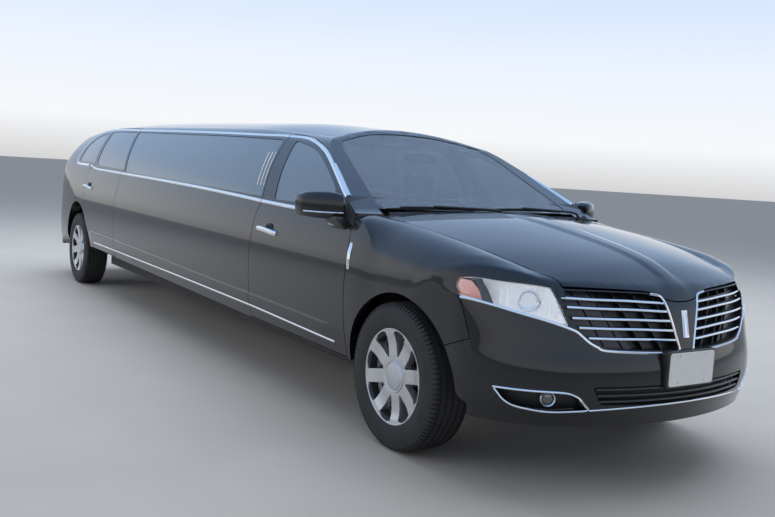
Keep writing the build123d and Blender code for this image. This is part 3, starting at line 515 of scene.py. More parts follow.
def cabin_half(x, low=0.0, high=0.0, top=0.0, foot=200.0, fine=1):
    """Right half of the cabin's section from the foot up to the roof's middle."""
    roof_z, cant_z = along(BODY, x, 1), along(BODY, x, 2)
    belt = belt_z(x)
    crease = along(CREASE, x)
    inside = step(fx(-460), fx(-720), x) * step(rx(470), rx(570), x)
    below = [330 + (crease - 40 - 330) * i / 4 for i in range(5)]
    at = [crease - 40 + 80 * i / 12 for i in range(1, 13)]
    above = [crease + 40 + (belt - crease - 40) * i / 18 for i in range(1, 19)]
    half = [(SILL_Y - low, foot)]
    for z in below + at + above:
        ledge = 8 * inside * (1 - step(crease - 10, crease + 8, z)) * step(crease - 150, crease - 30, z)
        half.append((side_y(z, x) - low + ledge, z))
    half += arc((BELT_Y - low, belt), (0.5 * (BELT_Y - low + CANT_Y - high) + 22, 0.5 * (belt + cant_z)),
                (CANT_Y - high, cant_z), 16)[1:]
    edge_z = roof_z - 72 - top
    half += arc((CANT_Y - high, cant_z),
                (0.5 * (CANT_Y + ROOF_EDGE_Y) - high + 14, 0.5 * (cant_z + edge_z) + 12),
                (ROOF_EDGE_Y - high, edge_z), 9)[1:]
    y1 = ROOF_EDGE_Y - high
    radius = (y1 * y1 + 72 * 72) / (2 * 72)
    half += [(y1 * (1 - i / 14), roof_z - top - radius + math.sqrt(radius ** 2 - (y1 * (1 - i / 14)) ** 2))
             for i in range(1, 15)]
    return half if fine == 1 else half[::fine] + ([half[-1]] if (len(half) - 1) % fine else [])


def ring_of(half, x):
    """Closed ring across the car from a right half."""
    return [(x, -y, z) for y, z in half] + [(x, y, z) for y, z in reversed(half[:-1])]


def water_ring(half, z):
    """Closed level ring from its right half in plan."""
    return [(x, -y, z) for x, y in half] + [(x, y, z) for x, y in reversed(half[:-1])]


def cabin_volume(low=0.0, high=0.0, top=0.0, foot=200.0, gap=30.0, fine=1):
    """Cabin as a long body, from its sections at even places along X."""
    return volume("cabin", [ring_of(cabin_half(x, low, high, top, foot, fine), x)
                            for x in levels(rx(-1250), fx(-300), gap)])


def tail_volume(inset=0.0, gap=22.0):
    """All that lies ahead of the tail's waterlines."""
    rings = []
    for z in levels(200 if not inset else 60, 1760, gap):
        tip = rx(along(TAIL, max(z, 200))) + inset
        w = HALF_WIDTH + 15 - inset
        a, b, c = (rx(500), w), (tip + 330, 905 - inset), (tip + 110, 700 - inset)
        half = [(fx(0), w)] + arc(a, (0.5 * (a[0] + b[0]), 0.5 * (a[1] + b[1]) + 14), b, 16)
        half += arc(b, (tip + 187, 828 - inset), c, 12)[1:]
        half += arc(c, (tip, 0), (c[0], -c[1]), 40)[1:21]
        rings.append(water_ring(half, z))
    return volume("tail", rings)


def screen_x(y, z):
    """Place along X of the windscreen's face."""
    (s0, z0, bow), (s1, z1, _) = SCREEN_BASE, SCREEN_TOP
    return fx(s0 + (s1 - s0) / (z1 - z0) * (z - z0)) - bow + math.sqrt(bow * bow - y * y)


def screen_volume(back=0.0, wall=0.0, ledge=0.0):
    """All that lies behind the windscreen and the cowl's front."""
    ys = levels(-1000, 1000, 50)
    front = [(z, [fx(HINGE_S) - wall] * len(ys)) for z in (60, COWL_Z - ledge - 0.5)]
    front += [(z, [screen_x(y, z) - back for y in ys]) for z in levels(COWL_Z - ledge, 1800, 25)]
    return volume("screen", [[(x, y, z) for x, y in zip(xs, ys)] + [(END, 1000, z), (END, -1000, z)]
                             for z, xs in front])


def front_half(s, inset=0.0, foot=200.0):
    """Right half of the nose's section from the foot up to the bonnet's middle."""
    zc, ye, ze = (along(FRONT, s, k) for k in (1, 2, 3))
    y0, ys = SILL_Y - inset, HALF_WIDTH - 10 - inset
    rise = step(-100, -440, s)
    shoulder = (ys - 14, min(ze - 90, 930))
    shoulder = (shoulder[0] + (side_y(1118, fx(s)) - inset - shoulder[0]) * rise,
                shoulder[1] + (1118 - shoulder[1]) * rise)
    zc, ze = zc - inset, ze - inset
    bulge = (0.5 * (shoulder[0] + ye) + 38 - 26 * rise, 0.5 * (shoulder[1] + ze) + 30 - 21 * rise)
    low = arc((y0, 330), (ys, 640), shoulder, 22)
    near = step(-150, -420, s)
    half = [(y0, foot)] + [(y + (side_y(z, fx(s)) - inset - y) * near, z) for y, z in low]
    half += arc(shoulder, bulge, (ye, ze), 16)[1:]
    sag = zc - ze
    radius = (ye * ye + sag * sag) / (2 * sag)
    spine = 62 - 34 * step(-300, 1000, s)
    for i in range(1, 37):
        y = ye * (1 - i / 36)
        z = zc - radius + math.sqrt(radius * radius - y * y)
        z += 8 * step(spine + 30, spine, y) * step(-420, -100, s)
        half.append((y, z))
    return half


def front_volume(inset=0.0, foot=200.0, gap=20.0):
    """Fenders, bonnet and nose as one body."""
    body = volume("front", [ring_of(front_half(s, inset, foot), fx(s)) for s in levels(-640, 1060, gap)])
    rings = []
    for z in levels(200 if not inset else 60, 1250, 20):
        tip = fx(along(NOSE, max(z, 200))) - inset
        w = HALF_WIDTH - inset
        a, b, c = (fx(60), w), (tip - 500, 925 - inset), (tip - 121, 600 - inset)
        flank = [(a[0] + (b[0] - a[0]) * i / 8, a[1] + (b[1] - a[1]) * i / 8) for i in range(9)]
        half = [(fx(-700), w)] + flank
        half += arc(b, (tip - 271, 800 - inset), c, 14)[1:]
        half += arc(c, (tip, 0), (c[0], -c[1]), 48)[1:25]
        rings.append(water_ring(half, z))
    return meet(body, volume("nose", rings))


def cabin_body(side=0.0, tail=None, back=None, wall=0.0, ledge=0.0, high=None, top=None, foot=200.0, gap=30.0,
               fine=1):
    """Cabin, tail and windscreen planes together, set in by the given walls."""
    body = cabin_volume(side, side if high is None else high, side if top is None else top, foot, gap, fine)
    meet(body, tail_volume(side if tail is None else tail))
    return within(body, screen_volume(side if back is None else back, wall, ledge))


skin = {}
PILLAR_WAY = Vector((0, -0.88, 0.47))


def cast(start, way):
    """Where a ray meets the skin, and the skin's normal there; places in millimetres."""
    point, normal, _, _ = skin["tree"].ray_cast(Vector([c * MM for c in start]), Vector(way))
    if point is None:
        raise RuntimeError("no skin from %s" % (start,))
    return point, normal


def on_side(s, z, out=0.0):
    """Point of the right skin beside the place s from the front axle, moved out along its normal."""
    point, normal = cast((fx(s), -3000, z), (0, 1, 0))
    if abs(normal.y) < 0.6:
        normal = PILLAR_WAY
    return tuple(c / MM for c in point + normal * out * MM)


def on_nose(y, z, out=0.0):
    """Point of the nose's skin seen from ahead."""
    point, normal = cast((6000, y, z), (-1, 0, 0))
    return tuple(c / MM for c in point + normal * out * MM)


# Outlines shared with the frame's source

FRONT_DOOR = [
    (fx(-464), 372), (fx(-463), 737), (fx(-472), 1010), (fx(-508), 1126), (fx(-575), 1184),
    (fx(-700), 1255), (fx(-895), 1356), (fx(-1115), 1457), (fx(-1305), 1522), (fx(-1550), 1568),
    (fx(-1790), 1580), (fx(-1628), 1140), (fx(-1672), 1060), (fx(-1674), 600), (fx(-1690), 385),
]
REAR_DOOR = [
    (rx(1327), 428), (rx(1343), 1188), (rx(1395), 1213), (rx(1160), 1634), (rx(525), 1646),
    (rx(262), 1640), (rx(385), 1262), (rx(245), 1205), (rx(213), 1000), (rx(262), 815),
    (rx(372), 660), (rx(480), 520), (rx(560), 437),
]
FRONT_WINDOW = [
    (fx(-770), 1160), (fx(-790), 1258), (fx(-915), 1324), (fx(-1128), 1421), (fx(-1312), 1485),
    (fx(-1555), 1530), (fx(-1640), 1538), (fx(-1470), 1160),
]
STRETCH_WINDOW = [
    (fx(-1665), 1168), (fx(-1815), 1545), (fx(-2611), 1567), (rx(1500), 1595), (rx(1190), 1598),
    (rx(1425), 1222),
]
REAR_WINDOW = [
    (rx(1365), 1240), (rx(1140), 1600), (rx(525), 1606), (rx(325), 1600), (rx(420), 1290),
    (rx(530), 1256),
]
QUARTER_WINDOW = [
    (rx(335), 1280), (rx(250), 1590), (rx(140), 1588), (rx(-125), 1545), (rx(-262), 1440),
    (rx(-262), 1290),
]
SIDE_REGION = [
    (fx(HINGE_S), 362), (fx(-1700), 377), (rx(1300), 420), (rx(640), 432), (rx(-480), 440),
    (rx(-530), 445), (rx(-530), 780), (END, 780), (END, 1900), (fx(-200), 1900),
    (fx(HINGE_S), 1140),
]
SCREEN = [(-728, 1172), (728, 1172), (600, 1550), (300, 1611), (0, 1625), (-300, 1611), (-590, 1540)]
TAILGATE = [
    (-640, 795), (640, 795), (685, 1150), (610, 1560), (600, 1900), (-600, 1900), (-610, 1560), (-685, 1150),
]
TAILGATE_WINDOW = [(-585, 1205), (585, 1205), (520, 1500), (-520, 1500)]
LAMP = [
    (919, 850), (918, 890), (908, 927), (880, 937), (818, 931), (727, 927), (652, 919), (635, 838),
    (604, 759), (698, 787), (777, 809), (857, 833), (901, 844),
]
WING = [
    (645, 916), (618, 801), (577, 747), (524, 697), (449, 664), (231, 651), (60, 648), (50, 664),
    (81, 770), (112, 862), (128, 888), (160, 900), (230, 908), (446, 915),
]
FOG = [(860, 478), (614, 478), (567, 450), (525, 400), (685, 384), (804, 398), (846, 430)]
INTAKE = [(520, 505), (-520, 505), (-480, 425), (-311, 418), (311, 418), (480, 425)]
# Each bar: y and z of its outer end, then of its inner end
BARS = (
    (624, 883, 118, 861), (608, 843, 104, 823), (590, 797, 90, 781), (564, 756, 78, 738), (525, 712, 66, 695),
)
BONNET = [
    (fx(-438), 0), (fx(-440), 400), (fx(-444), 752), (fx(-316), 760), (fx(68), 745),
    (fx(373), 718), (fx(558), 680), (fx(687), 640), (fx(728), 612), (fx(790), 604), (fx(1000), 600),
    (fx(1000), 0),
]
FENDER = [
    (fx(-458), 362), (fx(-458), 1000), (fx(-466), 1013), (fx(-502), 1131), (fx(-570), 1191), (fx(-636), 1230),
    (fx(-636), 1300), (fx(1000), 1300), (fx(1000), 882), (fx(474), 882), (fx(479), 838),
    (fx(518), 744), (fx(549), 668), (fx(475), 638), (fx(372), 598), (fx(290), 560), (fx(290), 300),
]
BUMPER = [
    (fx(478), 882), (fx(483), 838), (fx(522), 744), (fx(554), 665), (fx(477), 634), (fx(374), 594),
    (fx(294), 556), (fx(294), 330), (fx(700), 318), (fx(1100), 318), (fx(1100), 1000), (fx(600), 1000),
    (fx(600), 882),
]
BONNET_LIP = [
    (1000, 930), (645, 928), (446, 925), (230, 916), (165, 907), (122, 892), (100, 878), (50, 869), (0, 867),
]


# Finishes: every material is made of nodes on Object coordinates

def finish(name, colour, rough=0.5, metallic=0.0, coat=0.0, level=0.5, tone=0.12, spread=0.06, scale=30.0,
           grain=0.0, grain_scale=300.0, cells=False, stretch=(1, 1, 1), clear=0.0, ior=1.5, coat_rough=0.02,
           coat_ior=1.5, painted_glow=0.0):
    """A finish with a colour that varies softly, an uneven gloss, a fine grain and, where asked, a painted
    glow.
    """
    mat = bpy.data.materials.get(name) or bpy.data.materials.new(name)
    mat.use_nodes = True
    nodes, links = mat.node_tree.nodes, mat.node_tree.links
    for node in [n for n in nodes if n.type not in ("BSDF_PRINCIPLED", "OUTPUT_MATERIAL")]:
        nodes.remove(node)
    shader = nodes["Principled BSDF"]
    constants = {
        "Metallic": metallic, "Coat Weight": coat, "Coat Roughness": coat_rough, "Coat IOR": coat_ior,
        "Specular IOR Level": level, "Transmission Weight": clear, "IOR": ior,
        "Emission Strength": painted_glow, "Emission Color": (1, 1, 1, 1),
    }
    for socket, value in constants.items():
        shader.inputs[socket].default_value = value
    place = nodes.new("ShaderNodeTexCoord")
    turn = nodes.new("ShaderNodeMapping")
    turn.inputs["Scale"].default_value = stretch
    cloud = nodes.new("ShaderNodeTexNoise")
    cloud.inputs["Scale"].default_value = scale
    cloud.inputs["Detail"].default_value = 4
    ramp = nodes.new("ShaderNodeValToRGB")
    for stop, at, share in zip(ramp.color_ramp.elements, (0.3, 0.7), (1 - tone, 1 + tone)):
        stop.position = at
        stop.color = [min(1, c * share) for c in colour[:3]] + [1]
    gloss = nodes.new("ShaderNodeMapRange")
    gloss.inputs["To Min"].default_value = max(0.0, rough - spread)
    gloss.inputs["To Max"].default_value = min(1.0, rough + spread)
    links.new(place.outputs["Object"], turn.inputs["Vector"])
    links.new(turn.outputs["Vector"], cloud.inputs["Vector"])
    links.new(cloud.outputs["Fac"], ramp.inputs["Fac"])
    links.new(ramp.outputs["Color"], shader.inputs["Base Color"])
    links.new(cloud.outputs["Fac"], gloss.inputs["Value"])
    links.new(gloss.outputs["Result"], shader.inputs["Roughness"])
    if grain:
        fine = nodes.new("ShaderNodeTexVoronoi" if cells else "ShaderNodeTexNoise")
        fine.inputs["Scale"].default_value = grain_scale
        bump = nodes.new("ShaderNodeBump")
        bump.inputs["Strength"].default_value = 0.6
        bump.inputs["Distance"].default_value = grain * MM
        links.new(turn.outputs["Vector"], fine.inputs["Vector"])
        links.new(fine.outputs["Distance" if cells else "Fac"], bump.inputs["Height"])
        links.new(bump.outputs["Normal"], shader.inputs["Normal"])
    return mat


def finishes():
    """All the finishes of the car, from the colours in the panel."""
    c = bpy.context.scene.limo_colours
    return {
        "paint": finish("gloss_black_paint", c.paint, 0.35, coat=1.0, level=0.15, tone=0.25, spread=0.05,
                        scale=700),
        "chrome": finish("polished_chrome", c.chrome, 0.07, metallic=1.0, tone=0.03, spread=0.03, scale=12),
        "satin": finish("satin_bright_metal", (0.62, 0.63, 0.65), 0.28, metallic=1.0, tone=0.06, spread=0.07,
                        scale=60),
        "alloy": finish("wheel_silver", c.wheel, 0.3, metallic=0.85, coat=0.6, tone=0.05, spread=0.05,
                        scale=90, grain=0.01, grain_scale=1500),
        "side_glass": finish("tinted_glass", c.side_glass, 0.01, coat=1.0, level=1.0, tone=0.15, spread=0.01,
                             scale=3, clear=0.35, ior=1.6, coat_ior=1.95),
        "screen_glass": finish("clear_glass", c.screen_glass, 0.0, coat=1.0, level=1.0, tone=0.03,
                               spread=0.005, scale=3, clear=0.92, coat_ior=2.2),
        "lens": finish("lamp_lens", (0.96, 0.97, 1.0), 0.0, tone=0.02, spread=0.005, scale=5, clear=1.0,
                       ior=1.45),
        "grille_grey": finish("shutter_grey", (0.05, 0.05, 0.054), 0.3, tone=0.1, scale=60),
        # The headlamp's bowl and ribs glow faintly. This is painted light in place of the daylight that the
        # lens keeps from them.
        "reflector": finish("lamp_reflector_painted_glow", (0.95, 0.955, 0.97), 0.35, metallic=0.15, tone=0.06, spread=0.1,
                            scale=40, grain=1.2, grain_scale=55, cells=True, painted_glow=0.12),
        "amber": finish("amber_marker", c.marker, 0.15, coat=1.0, tone=0.15, scale=50, grain=1.0,
                        grain_scale=130, cells=True),
        "red": finish("red_tail_lens", c.tail_lens, 0.08, coat=1.0, level=0.7, tone=0.2, spread=0.03,
                      scale=40, grain=0.8, grain_scale=160, cells=True),
        "rubber": finish("tyre_rubber", (0.022, 0.022, 0.023), 0.72, tone=0.25, spread=0.1, scale=14,
                         grain=0.25, grain_scale=700),
        "black": finish("moulded_black", (0.016, 0.016, 0.018), 0.5, tone=0.2, spread=0.08, scale=25,
                        grain=0.08, grain_scale=1300),
        "satin_black": finish("satin_black_trim", (0.02, 0.02, 0.022), 0.3, coat=0.3, tone=0.2, spread=0.05,
                              grain=0.02, grain_scale=1500),
        "grille_black": finish("grille_black", (0.02, 0.02, 0.023), 0.38, tone=0.2, scale=25, grain=0.04,
                               grain_scale=1100),
        "underbody": finish("underbody_black", (0.028, 0.027, 0.026), 0.75, tone=0.35, spread=0.12, scale=7,
                            grain=0.8, grain_scale=220),
        "cast": finish("cast_metal", (0.2, 0.2, 0.205), 0.55, metallic=0.7, tone=0.25, spread=0.15, scale=20,
                       grain=0.5, grain_scale=260),
        "pipe": finish("exhaust_steel", (0.33, 0.31, 0.29), 0.42, metallic=0.9, tone=0.3, spread=0.15,
                       scale=9, grain=0.2, grain_scale=160),
        "engine": finish("engine_metal", (0.28, 0.28, 0.29), 0.5, metallic=0.75, tone=0.2, spread=0.12,
                         scale=18, grain=0.6, grain_scale=190),
        "tank": finish("tank_plastic", (0.03, 0.03, 0.032), 0.6, tone=0.2, spread=0.1, scale=12, grain=0.4,
                       grain_scale=420),
        "leather": finish("seat_leather", c.leather, 0.42, coat=0.15, tone=0.18, spread=0.1, scale=22,
                          grain=0.35, grain_scale=330, cells=True),
        "dash": finish("dash_plastic", (0.03, 0.03, 0.033), 0.55, tone=0.15, spread=0.08, scale=18,
                       grain=0.25, grain_scale=520, cells=True),
        "plate": finish("bare_plate", (0.78, 0.8, 0.84), 0.35, coat=0.4, tone=0.03, spread=0.08,
                        grain=0.05, grain_scale=600),
        "disc": finish("brake_disc", (0.36, 0.36, 0.37), 0.35, metallic=0.95, tone=0.12, spread=0.1,
                       scale=300, stretch=(1, 0.1, 1)),
    }


MATERIALS = {}


def piece(obj, body, finish_name, nodes=(), angle=30.0):
    """A finished piece: shading, finish, the body it rides on and the frame's nodes it stands for."""
    shade(obj, angle)
    obj.data.materials.clear()
    obj.data.materials.append(MATERIALS[finish_name])
    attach(obj, body)
    if nodes:
        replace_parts(obj, *nodes)
    return obj


def pair(obj, base, body, finish_name, node=None, angle=30.0):
    """A right-hand piece and its mirror image; body and node may hold a star for the side."""
    obj.name = base + "_right"
    other = mirrored(obj, base + "_left")
    for one, side in ((obj, "right"), (other, "left")):
        stands_for = [node.replace("*", side)] if node else ()
        piece(one, body.replace("*", side), finish_name, stands_for, angle)
    return obj, other


# Painted panels and glass

LEAN = math.tan(math.radians(15))
LAMP_DEEP = 12
SAIL_DEEP = 8
PANE_FACE = 4
PANE_BACK = 10
PANE_PLAY = -0.6
ARCH_FRONT = (fx(35), 325, 467)
ARCH_REAR = (rx(0), 395, 467)
ROOF_BACK = rx(-753)
ROOF_AHEAD = fx(-1150)
ROOF_HALF = 550.5
SEAM = 3
PILLAR_DEEP = 22


def arch_cutter(x, z, radius, side=-1, inner=600.0):
    """Round opening over a wheel."""
    clear_selection()
    bpy.ops.mesh.primitive_cylinder_add(vertices=128, radius=radius * MM, depth=(1030 - inner) * MM,
                                        location=(x * MM, side * (1030 + inner) / 2 * MM, z * MM),
                                        rotation=(math.pi / 2, 0, 0))
    bpy.ops.object.transform_apply(location=True, rotation=True, scale=True)
    return fresh("arch")


def door_outline(outline, by):
    """Outline with soft corners, grown by a gap if there is one."""
    soft = softened(outline)
    return grown(soft, by) if by else soft


def door_cutter(outline, by=0.0):
    """What a door takes out of the side."""
    return side_prism(door_outline(outline, by), -1, 300, LEAN)


def above_line(outline, by=0.0):
    """What lies outside the door's outline near and over the belt."""
    over = block(fx(-1900), fx(-300), -1020, 0, 1050, 1900)
    return carve(over, side_prism(door_outline(outline, by)))


def screen_cutter():
    """The windscreen's opening."""
    return face_prism(softened(SCREEN, 60), fx(-1700), fx(-300))


def gate_cutter(by=0.0, x1=rx(-760)):
    """What the tailgate takes out of the tail."""
    return face_prism(grown(softened(TAILGATE, 50), by), END, x1)


def plan_both(points):
    """Closes a half outline seen from above with its mirror image."""
    return points + [(x, -y) for x, y in reversed(points) if y > 0]


def build_skin():
    """The whole outer form, its walls and the layer that the glass is cut from."""
    outer, front = cabin_body(), front_volume()
    hull = join([twin(outer, "hull"), twin(front, "hull_front")], "hull")
    skin["tree"] = BVHTree.FromPolygons([v.co.copy() for v in hull.data.vertices],
                                        [tuple(p.vertices) for p in hull.data.polygons])
    bpy.data.objects.remove(hull)
    skin["shell"] = carve(twin(outer, "shell"), cabin_body(
        side=110, tail=45, back=32, wall=60, ledge=24, high=48, top=45, foot=120, gap=90, fine=2))
    skin["lamp_layer"] = carve(twin(outer, "lamp_layer"), cabin_body(LAMP_DEEP, foot=150, gap=45))
    skin["pane_skin"] = carve(outer, cabin_body(SAIL_DEEP, foot=150, gap=45))
    skin["pane"] = carve(cabin_body(PANE_FACE), cabin_body(PANE_BACK, foot=150, gap=45))
    skin["front"] = front
    skin["front_shell"] = carve(twin(front, "front_shell"), front_volume(26, 150, 40))


def drop_skin():
    """Removes the bodies that pieces were cut from."""
    skin.pop("tree")
    for body in skin.values():
        bpy.data.objects.remove(body)
    skin.clear()


def roof_and_rear_bumper():
    """The two panels that reach from side to side."""
    roof = within(twin(skin["shell"], "roof_skin"),
                  block(ROOF_BACK, ROOF_AHEAD, -ROOF_HALF, ROOF_HALF, 1450, 1900))
    cut(roof, screen_cutter(), gate_cutter(10, rx(-750)))
    piece(keep_biggest(roof), "root", "paint", ["roof_panel"])
    bumper = within(twin(skin["shell"], "rear_bumper_skin"), block(END, rx(-531), -1000, 1000, 335, 778))
    piece(keep_biggest(bumper), "root", "paint", ["rear_bumper"])


def tailgate_and_lamps():
    """Tailgate with its lamp band, and the lamps that carry the band on at its sides."""
    slot = within(twin(skin["lamp_layer"], "slot"), block(END, rx(-959), -1000, 1000, 998, 1112))
    gate = within(twin(skin["shell"], "tailgate_skin"), gate_cutter())
    carve(gate, face_prism(softened(TAILGATE_WINDOW, 40), END, rx(-600)))
    lamp = within(twin(skin["lamp_layer"], "tail_band"), block(END, rx(-960), -1000, 1000, 1000, 1110))
    gate_lamp = within(twin(lamp, "tailgate_lamp_lens"), gate_cutter(-3, rx(-900)))
    carve(gate, slot, keep=True)
    piece(keep_biggest(gate), "tailgate", "paint", ["tailgate"])
    piece(keep_biggest(gate_lamp), "tailgate", "red", ["tailgate_lamp"])
    side_lamp = within(carve(lamp, gate_cutter(13, rx(-900))), block(END, rx(-900), -1000, 0, 900, 1200))
    made = pair(keep_biggest(side_lamp), "tail_lamp_lens", "root", "red")
    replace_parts(made[0], "tail_lamps")
    return slot


def side_skins(right, slot, gap):
    """Both sides, less roof, screen, tailgate, front wall, lamps, bumper's top, doors, arch and windows."""
    side = within(twin(right, "side"), side_prism(SIDE_REGION, -1, 0))
    cut(side, block(ROOF_BACK, ROOF_AHEAD, -ROOF_HALF - SEAM, 10, 1450, 1900), screen_cutter(),
        gate_cutter(10, ROOF_BACK), block(fx(-660), fx(-400), -735, 10, 345, 1172), slot,
        block(END, rx(-530), -650, 10, 779, 795))
    for outline in (FRONT_DOOR, REAR_DOOR):
        room = carve(door_cutter(outline, gap), block(fx(-700), fx(-100), -845, 0, 30, 1160))
        if outline is FRONT_DOOR:
            within(carve(room, above_line(outline, gap)), screen_volume(PILLAR_DEEP))
        carve(side, room)
    cut(side, arch_cutter(*ARCH_REAR), side_prism(softened(STRETCH_WINDOW, 30)),
        side_prism(softened(QUARTER_WINDOW, 30)))
    pair(keep_biggest(side), "side_skin", "root", "paint", "body_side_*")


def door_skins(right, gap):
    """Four doors; the front ones end short of the pillar."""
    for label, outline, window in (("front", FRONT_DOOR, FRONT_WINDOW), ("rear", REAR_DOOR, REAR_WINDOW)):
        door = within(twin(right, "door"), door_cutter(outline))
        carve(door, block(rx(-748), fx(-100), -559, 10, 30, 1900))
        if label == "front":
            cut(door, block(fx(-700), fx(-100), -855, 10, 29, 1169),
                block(fx(-462), fx(-100), -1010, 10, 28, 1168), screen_cutter(), above_line(outline))
            within(door, screen_volume(PILLAR_DEEP + gap))
        carve(door, side_prism(softened(window, 24)))
        pair(keep_biggest(door), "door_skin_" + label, label + "_door_*", "paint",
             "door_%s_*" % label)


def cabin_panels():
    """Every painted panel behind the windscreen's foot, cut from one shell."""
    gap = bpy.context.scene.limo_sizes.gap / MM
    right = within(twin(skin["shell"], "right_half"), block(END, fx(-200), -1200, 0, 0, 2000))
    roof_and_rear_bumper()
    slot = tailgate_and_lamps()
    side_skins(right, slot, gap)
    door_skins(right, gap)
    bpy.data.objects.remove(right)


def cabin_glass():
    """All the windows, cut from one thin layer."""
    pane = skin["pane"]
    for label, window, body, node in (
            ("stretch_pane", STRETCH_WINDOW, "root", None), ("quarter_pane", QUARTER_WINDOW, "root", None),
            ("front_door_pane", FRONT_WINDOW, "front_door_*", "door_glass_front_*"),
            ("rear_door_pane", REAR_WINDOW, "rear_door_*", "door_glass_rear_*")):
        glass = within(twin(pane, label), side_prism(grown(softened(window, 24), PANE_PLAY)))
        made = pair(keep_biggest(glass), label, body, "side_glass", node)
        if label == "stretch_pane":
            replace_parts(made[0], "side_glass")
    screen = within(twin(pane, "windscreen_pane"),
                    face_prism(grown(softened(SCREEN, 60), PANE_PLAY), fx(-1700), fx(-300)))
    piece(keep_biggest(screen), "root", "screen_glass", ["windscreen"])
    back = within(twin(pane, "tailgate_pane"),
                  face_prism(grown(softened(TAILGATE_WINDOW, 40), PANE_PLAY), END, rx(-600)))
    piece(keep_biggest(back), "tailgate", "side_glass", ["tailgate_glass"])


def front_panels():
    """Bonnet, fenders and front bumper, cut from one shell."""
    gap = bpy.context.scene.limo_sizes.gap / MM
    shell = skin["front_shell"]
    x0, x1 = fx(420), fx(1100)
    bonnet = softened(plan_both(BONNET), 20)
    lip = [(-y, z) for y, z in BONNET_LIP] + [(y, z) for y, z in reversed(BONNET_LIP[:-1])]
    above = softened(lip + [(1000, 1400), (-1000, 1400)], 12)
    hood = within(twin(shell, "bonnet_skin"), plan_prism(bonnet, 800, 1300))
    within(hood, face_prism(above, fx(-700), fx(1150)))
    fender = within(twin(shell, "fender"), side_prism(FENDER, -1, 606))
    bumper = within(twin(shell, "front_bumper_skin"),
                    prism([(x, -1010, z) for x, z in BUMPER], (0, 2020, 0)))
    for side in (-1, 1):
        carve(bumper, block(fx(400), fx(1150), side * 604, side * 1010, 882, 1300))
    room = within(plan_prism(grown(bonnet, gap), 801, 1301),
                  face_prism(grown(above, gap), fx(-720), fx(1160)))
    carve(fender, room, keep=True)
    carve(bumper, room)
    for side in (-1, 1):
        carve(hood, face_prism(grown(softened(WING), 1.5), x0, x1, side))
        carve(hood, face_prism(grown(softened(LAMP, 8), 4), x0, x1, side))
        carve(bumper, face_prism(softened(WING), x0, x1, side))
        carve(bumper, face_prism(grown(softened(LAMP, 8), 2), x0, x1, side))
        carve(bumper, face_prism(softened(FOG, 14), x0, x1, side))
        carve(bumper, arch_cutter(*ARCH_FRONT, side))
    carve(bumper, face_prism(softened(INTAKE, 20), x0, x1))
    carve(fender, face_prism(grown(softened(LAMP, 8), 2), x0, x1, -1))
    carve(fender, arch_cutter(*ARCH_FRONT))
    carve(fender, block(fx(-660), fx(-395), -744, 0, 1000, 1300))
    piece(keep_biggest(hood), "bonnet", "paint", ["hood"])
    piece(keep_biggest(bumper), "root", "paint", ["front_bumper"])
    pair(keep_biggest(fender), "fender_skin", "root", "paint", "fender_*")


# Bright trim

def strip(path, width, height=5.0, gap=28.0):
    """Domed strip of that width that stands proud of the skin, along points seen from the side."""
    radius = (width * width / 4 + height * height) / (2 * height)
    line = [Vector(on_side(p.x, p.y, height - radius)) for p in evenly([(a, b, 0) for a, b in path], gap)]
    for _ in range(10):
        line = [line[0]] + [0.25 * (a + 2 * b + c) for a, b, c in zip(line, line[1:], line[2:])] + [line[-1]]
    return tube("strip", [tuple(p) for p in line], radius)


UPPER = (
    (-644, 1226), (-684, 1246), (-881, 1346), (-1104, 1447), (-1299, 1512), (-1546, 1556), (-1884, 1572),
    (-2611, 1589), (-3484, 1604), (-4548, 1618), (-5518, 1628), (-5900, 1626), (-6115, 1612), (-6290, 1568),
)
TURN = (
    (-6392, 1490), (-6432, 1400), (-6436, 1320), (-6400, 1268), (-6300, 1258), (-6100, 1256), (-5880, 1254),
)
BELT = (
    (-720, 1124), (-1210, 1130), (-1628, 1140), (-2011, 1153), (-2767, 1174), (-3688, 1192), (-4620, 1206),
    (-5179, 1214), (-5560, 1220), (-5680, 1232), (-5790, 1250),
)
LOW = ((-578, 430), (-1638, 458), (-2939, 472), (-5406, 489))
RUNS = (("front", "front_door_*"), ("stretch", "root"), ("rear", "rear_door_*"), ("quarter", "root"))


def crossing(path, s):
    """The points of a path, cut into runs at the places in s."""
    runs, rest = [], list(path)
    for x in s:
        run = [p for p in rest if p[0] >= x]
        tail = [p for p in rest if p[0] < x]
        a, b = run[-1], tail[0]
        t = (x - a[0]) / (b[0] - a[0])
        z = a[1] + (b[1] - a[1]) * t
        runs.append(run + [(x + 4, z)] if abs(run[-1][0] - x - 4) > 5 else run)
        rest = [(x - 4, z)] + tail
    return runs + [rest]


def bright_trim():
    """Strips over the windows, under them and low on the side, parted at the doors."""
    wide = bpy.context.scene.limo_sizes.trim / MM
    upper = crossing(UPPER, (-1786, -4878, -5786))
    upper[-1] += TURN
    for base, paths, width, height in (
            ("upper", upper, wide, 5), ("belt", crossing(BELT, (-1642, -4706, -5700)), wide * 0.9, 5),
            ("low", crossing(LOW, (-1688, -4722)), 15, 4)):
        for (label, body), path in zip(RUNS, paths):
            pair(strip(path, width, height), "bright_%s_%s" % (base, label), body, "chrome")


# Front end: grille, lamps, recesses and plate

GRILLE_LINE = ((50, 664), (81, 770), (112, 862), (128, 888), (146, 896), (190, 903))
UNDER_LAMP = (
    (919, 842), (901, 840), (857, 829), (777, 804), (698, 782), (640, 763), (604, 750), (577, 738),
    (552, 716), (524, 692), (490, 674), (449, 659), (231, 647), (66, 643), (50, 648), (48, 664),
)
FOG_LINE = (
    (860, 476), (763, 477), (640, 477), (590, 463), (567, 447), (545, 423), (525, 399), (600, 392),
    (685, 387), (740, 392), (795, 402), (830, 425), (857, 470),
)


# Reach of a cut through the lamps and the lower front, ahead of the axle
NEAR = 380
FAR = 1100


def nose_cut(outline, near=NEAR, far=FAR):
    """Cutter along X through the right half of the nose, between two places ahead of the axle."""
    return face_prism(outline, fx(near), fx(far), -1)


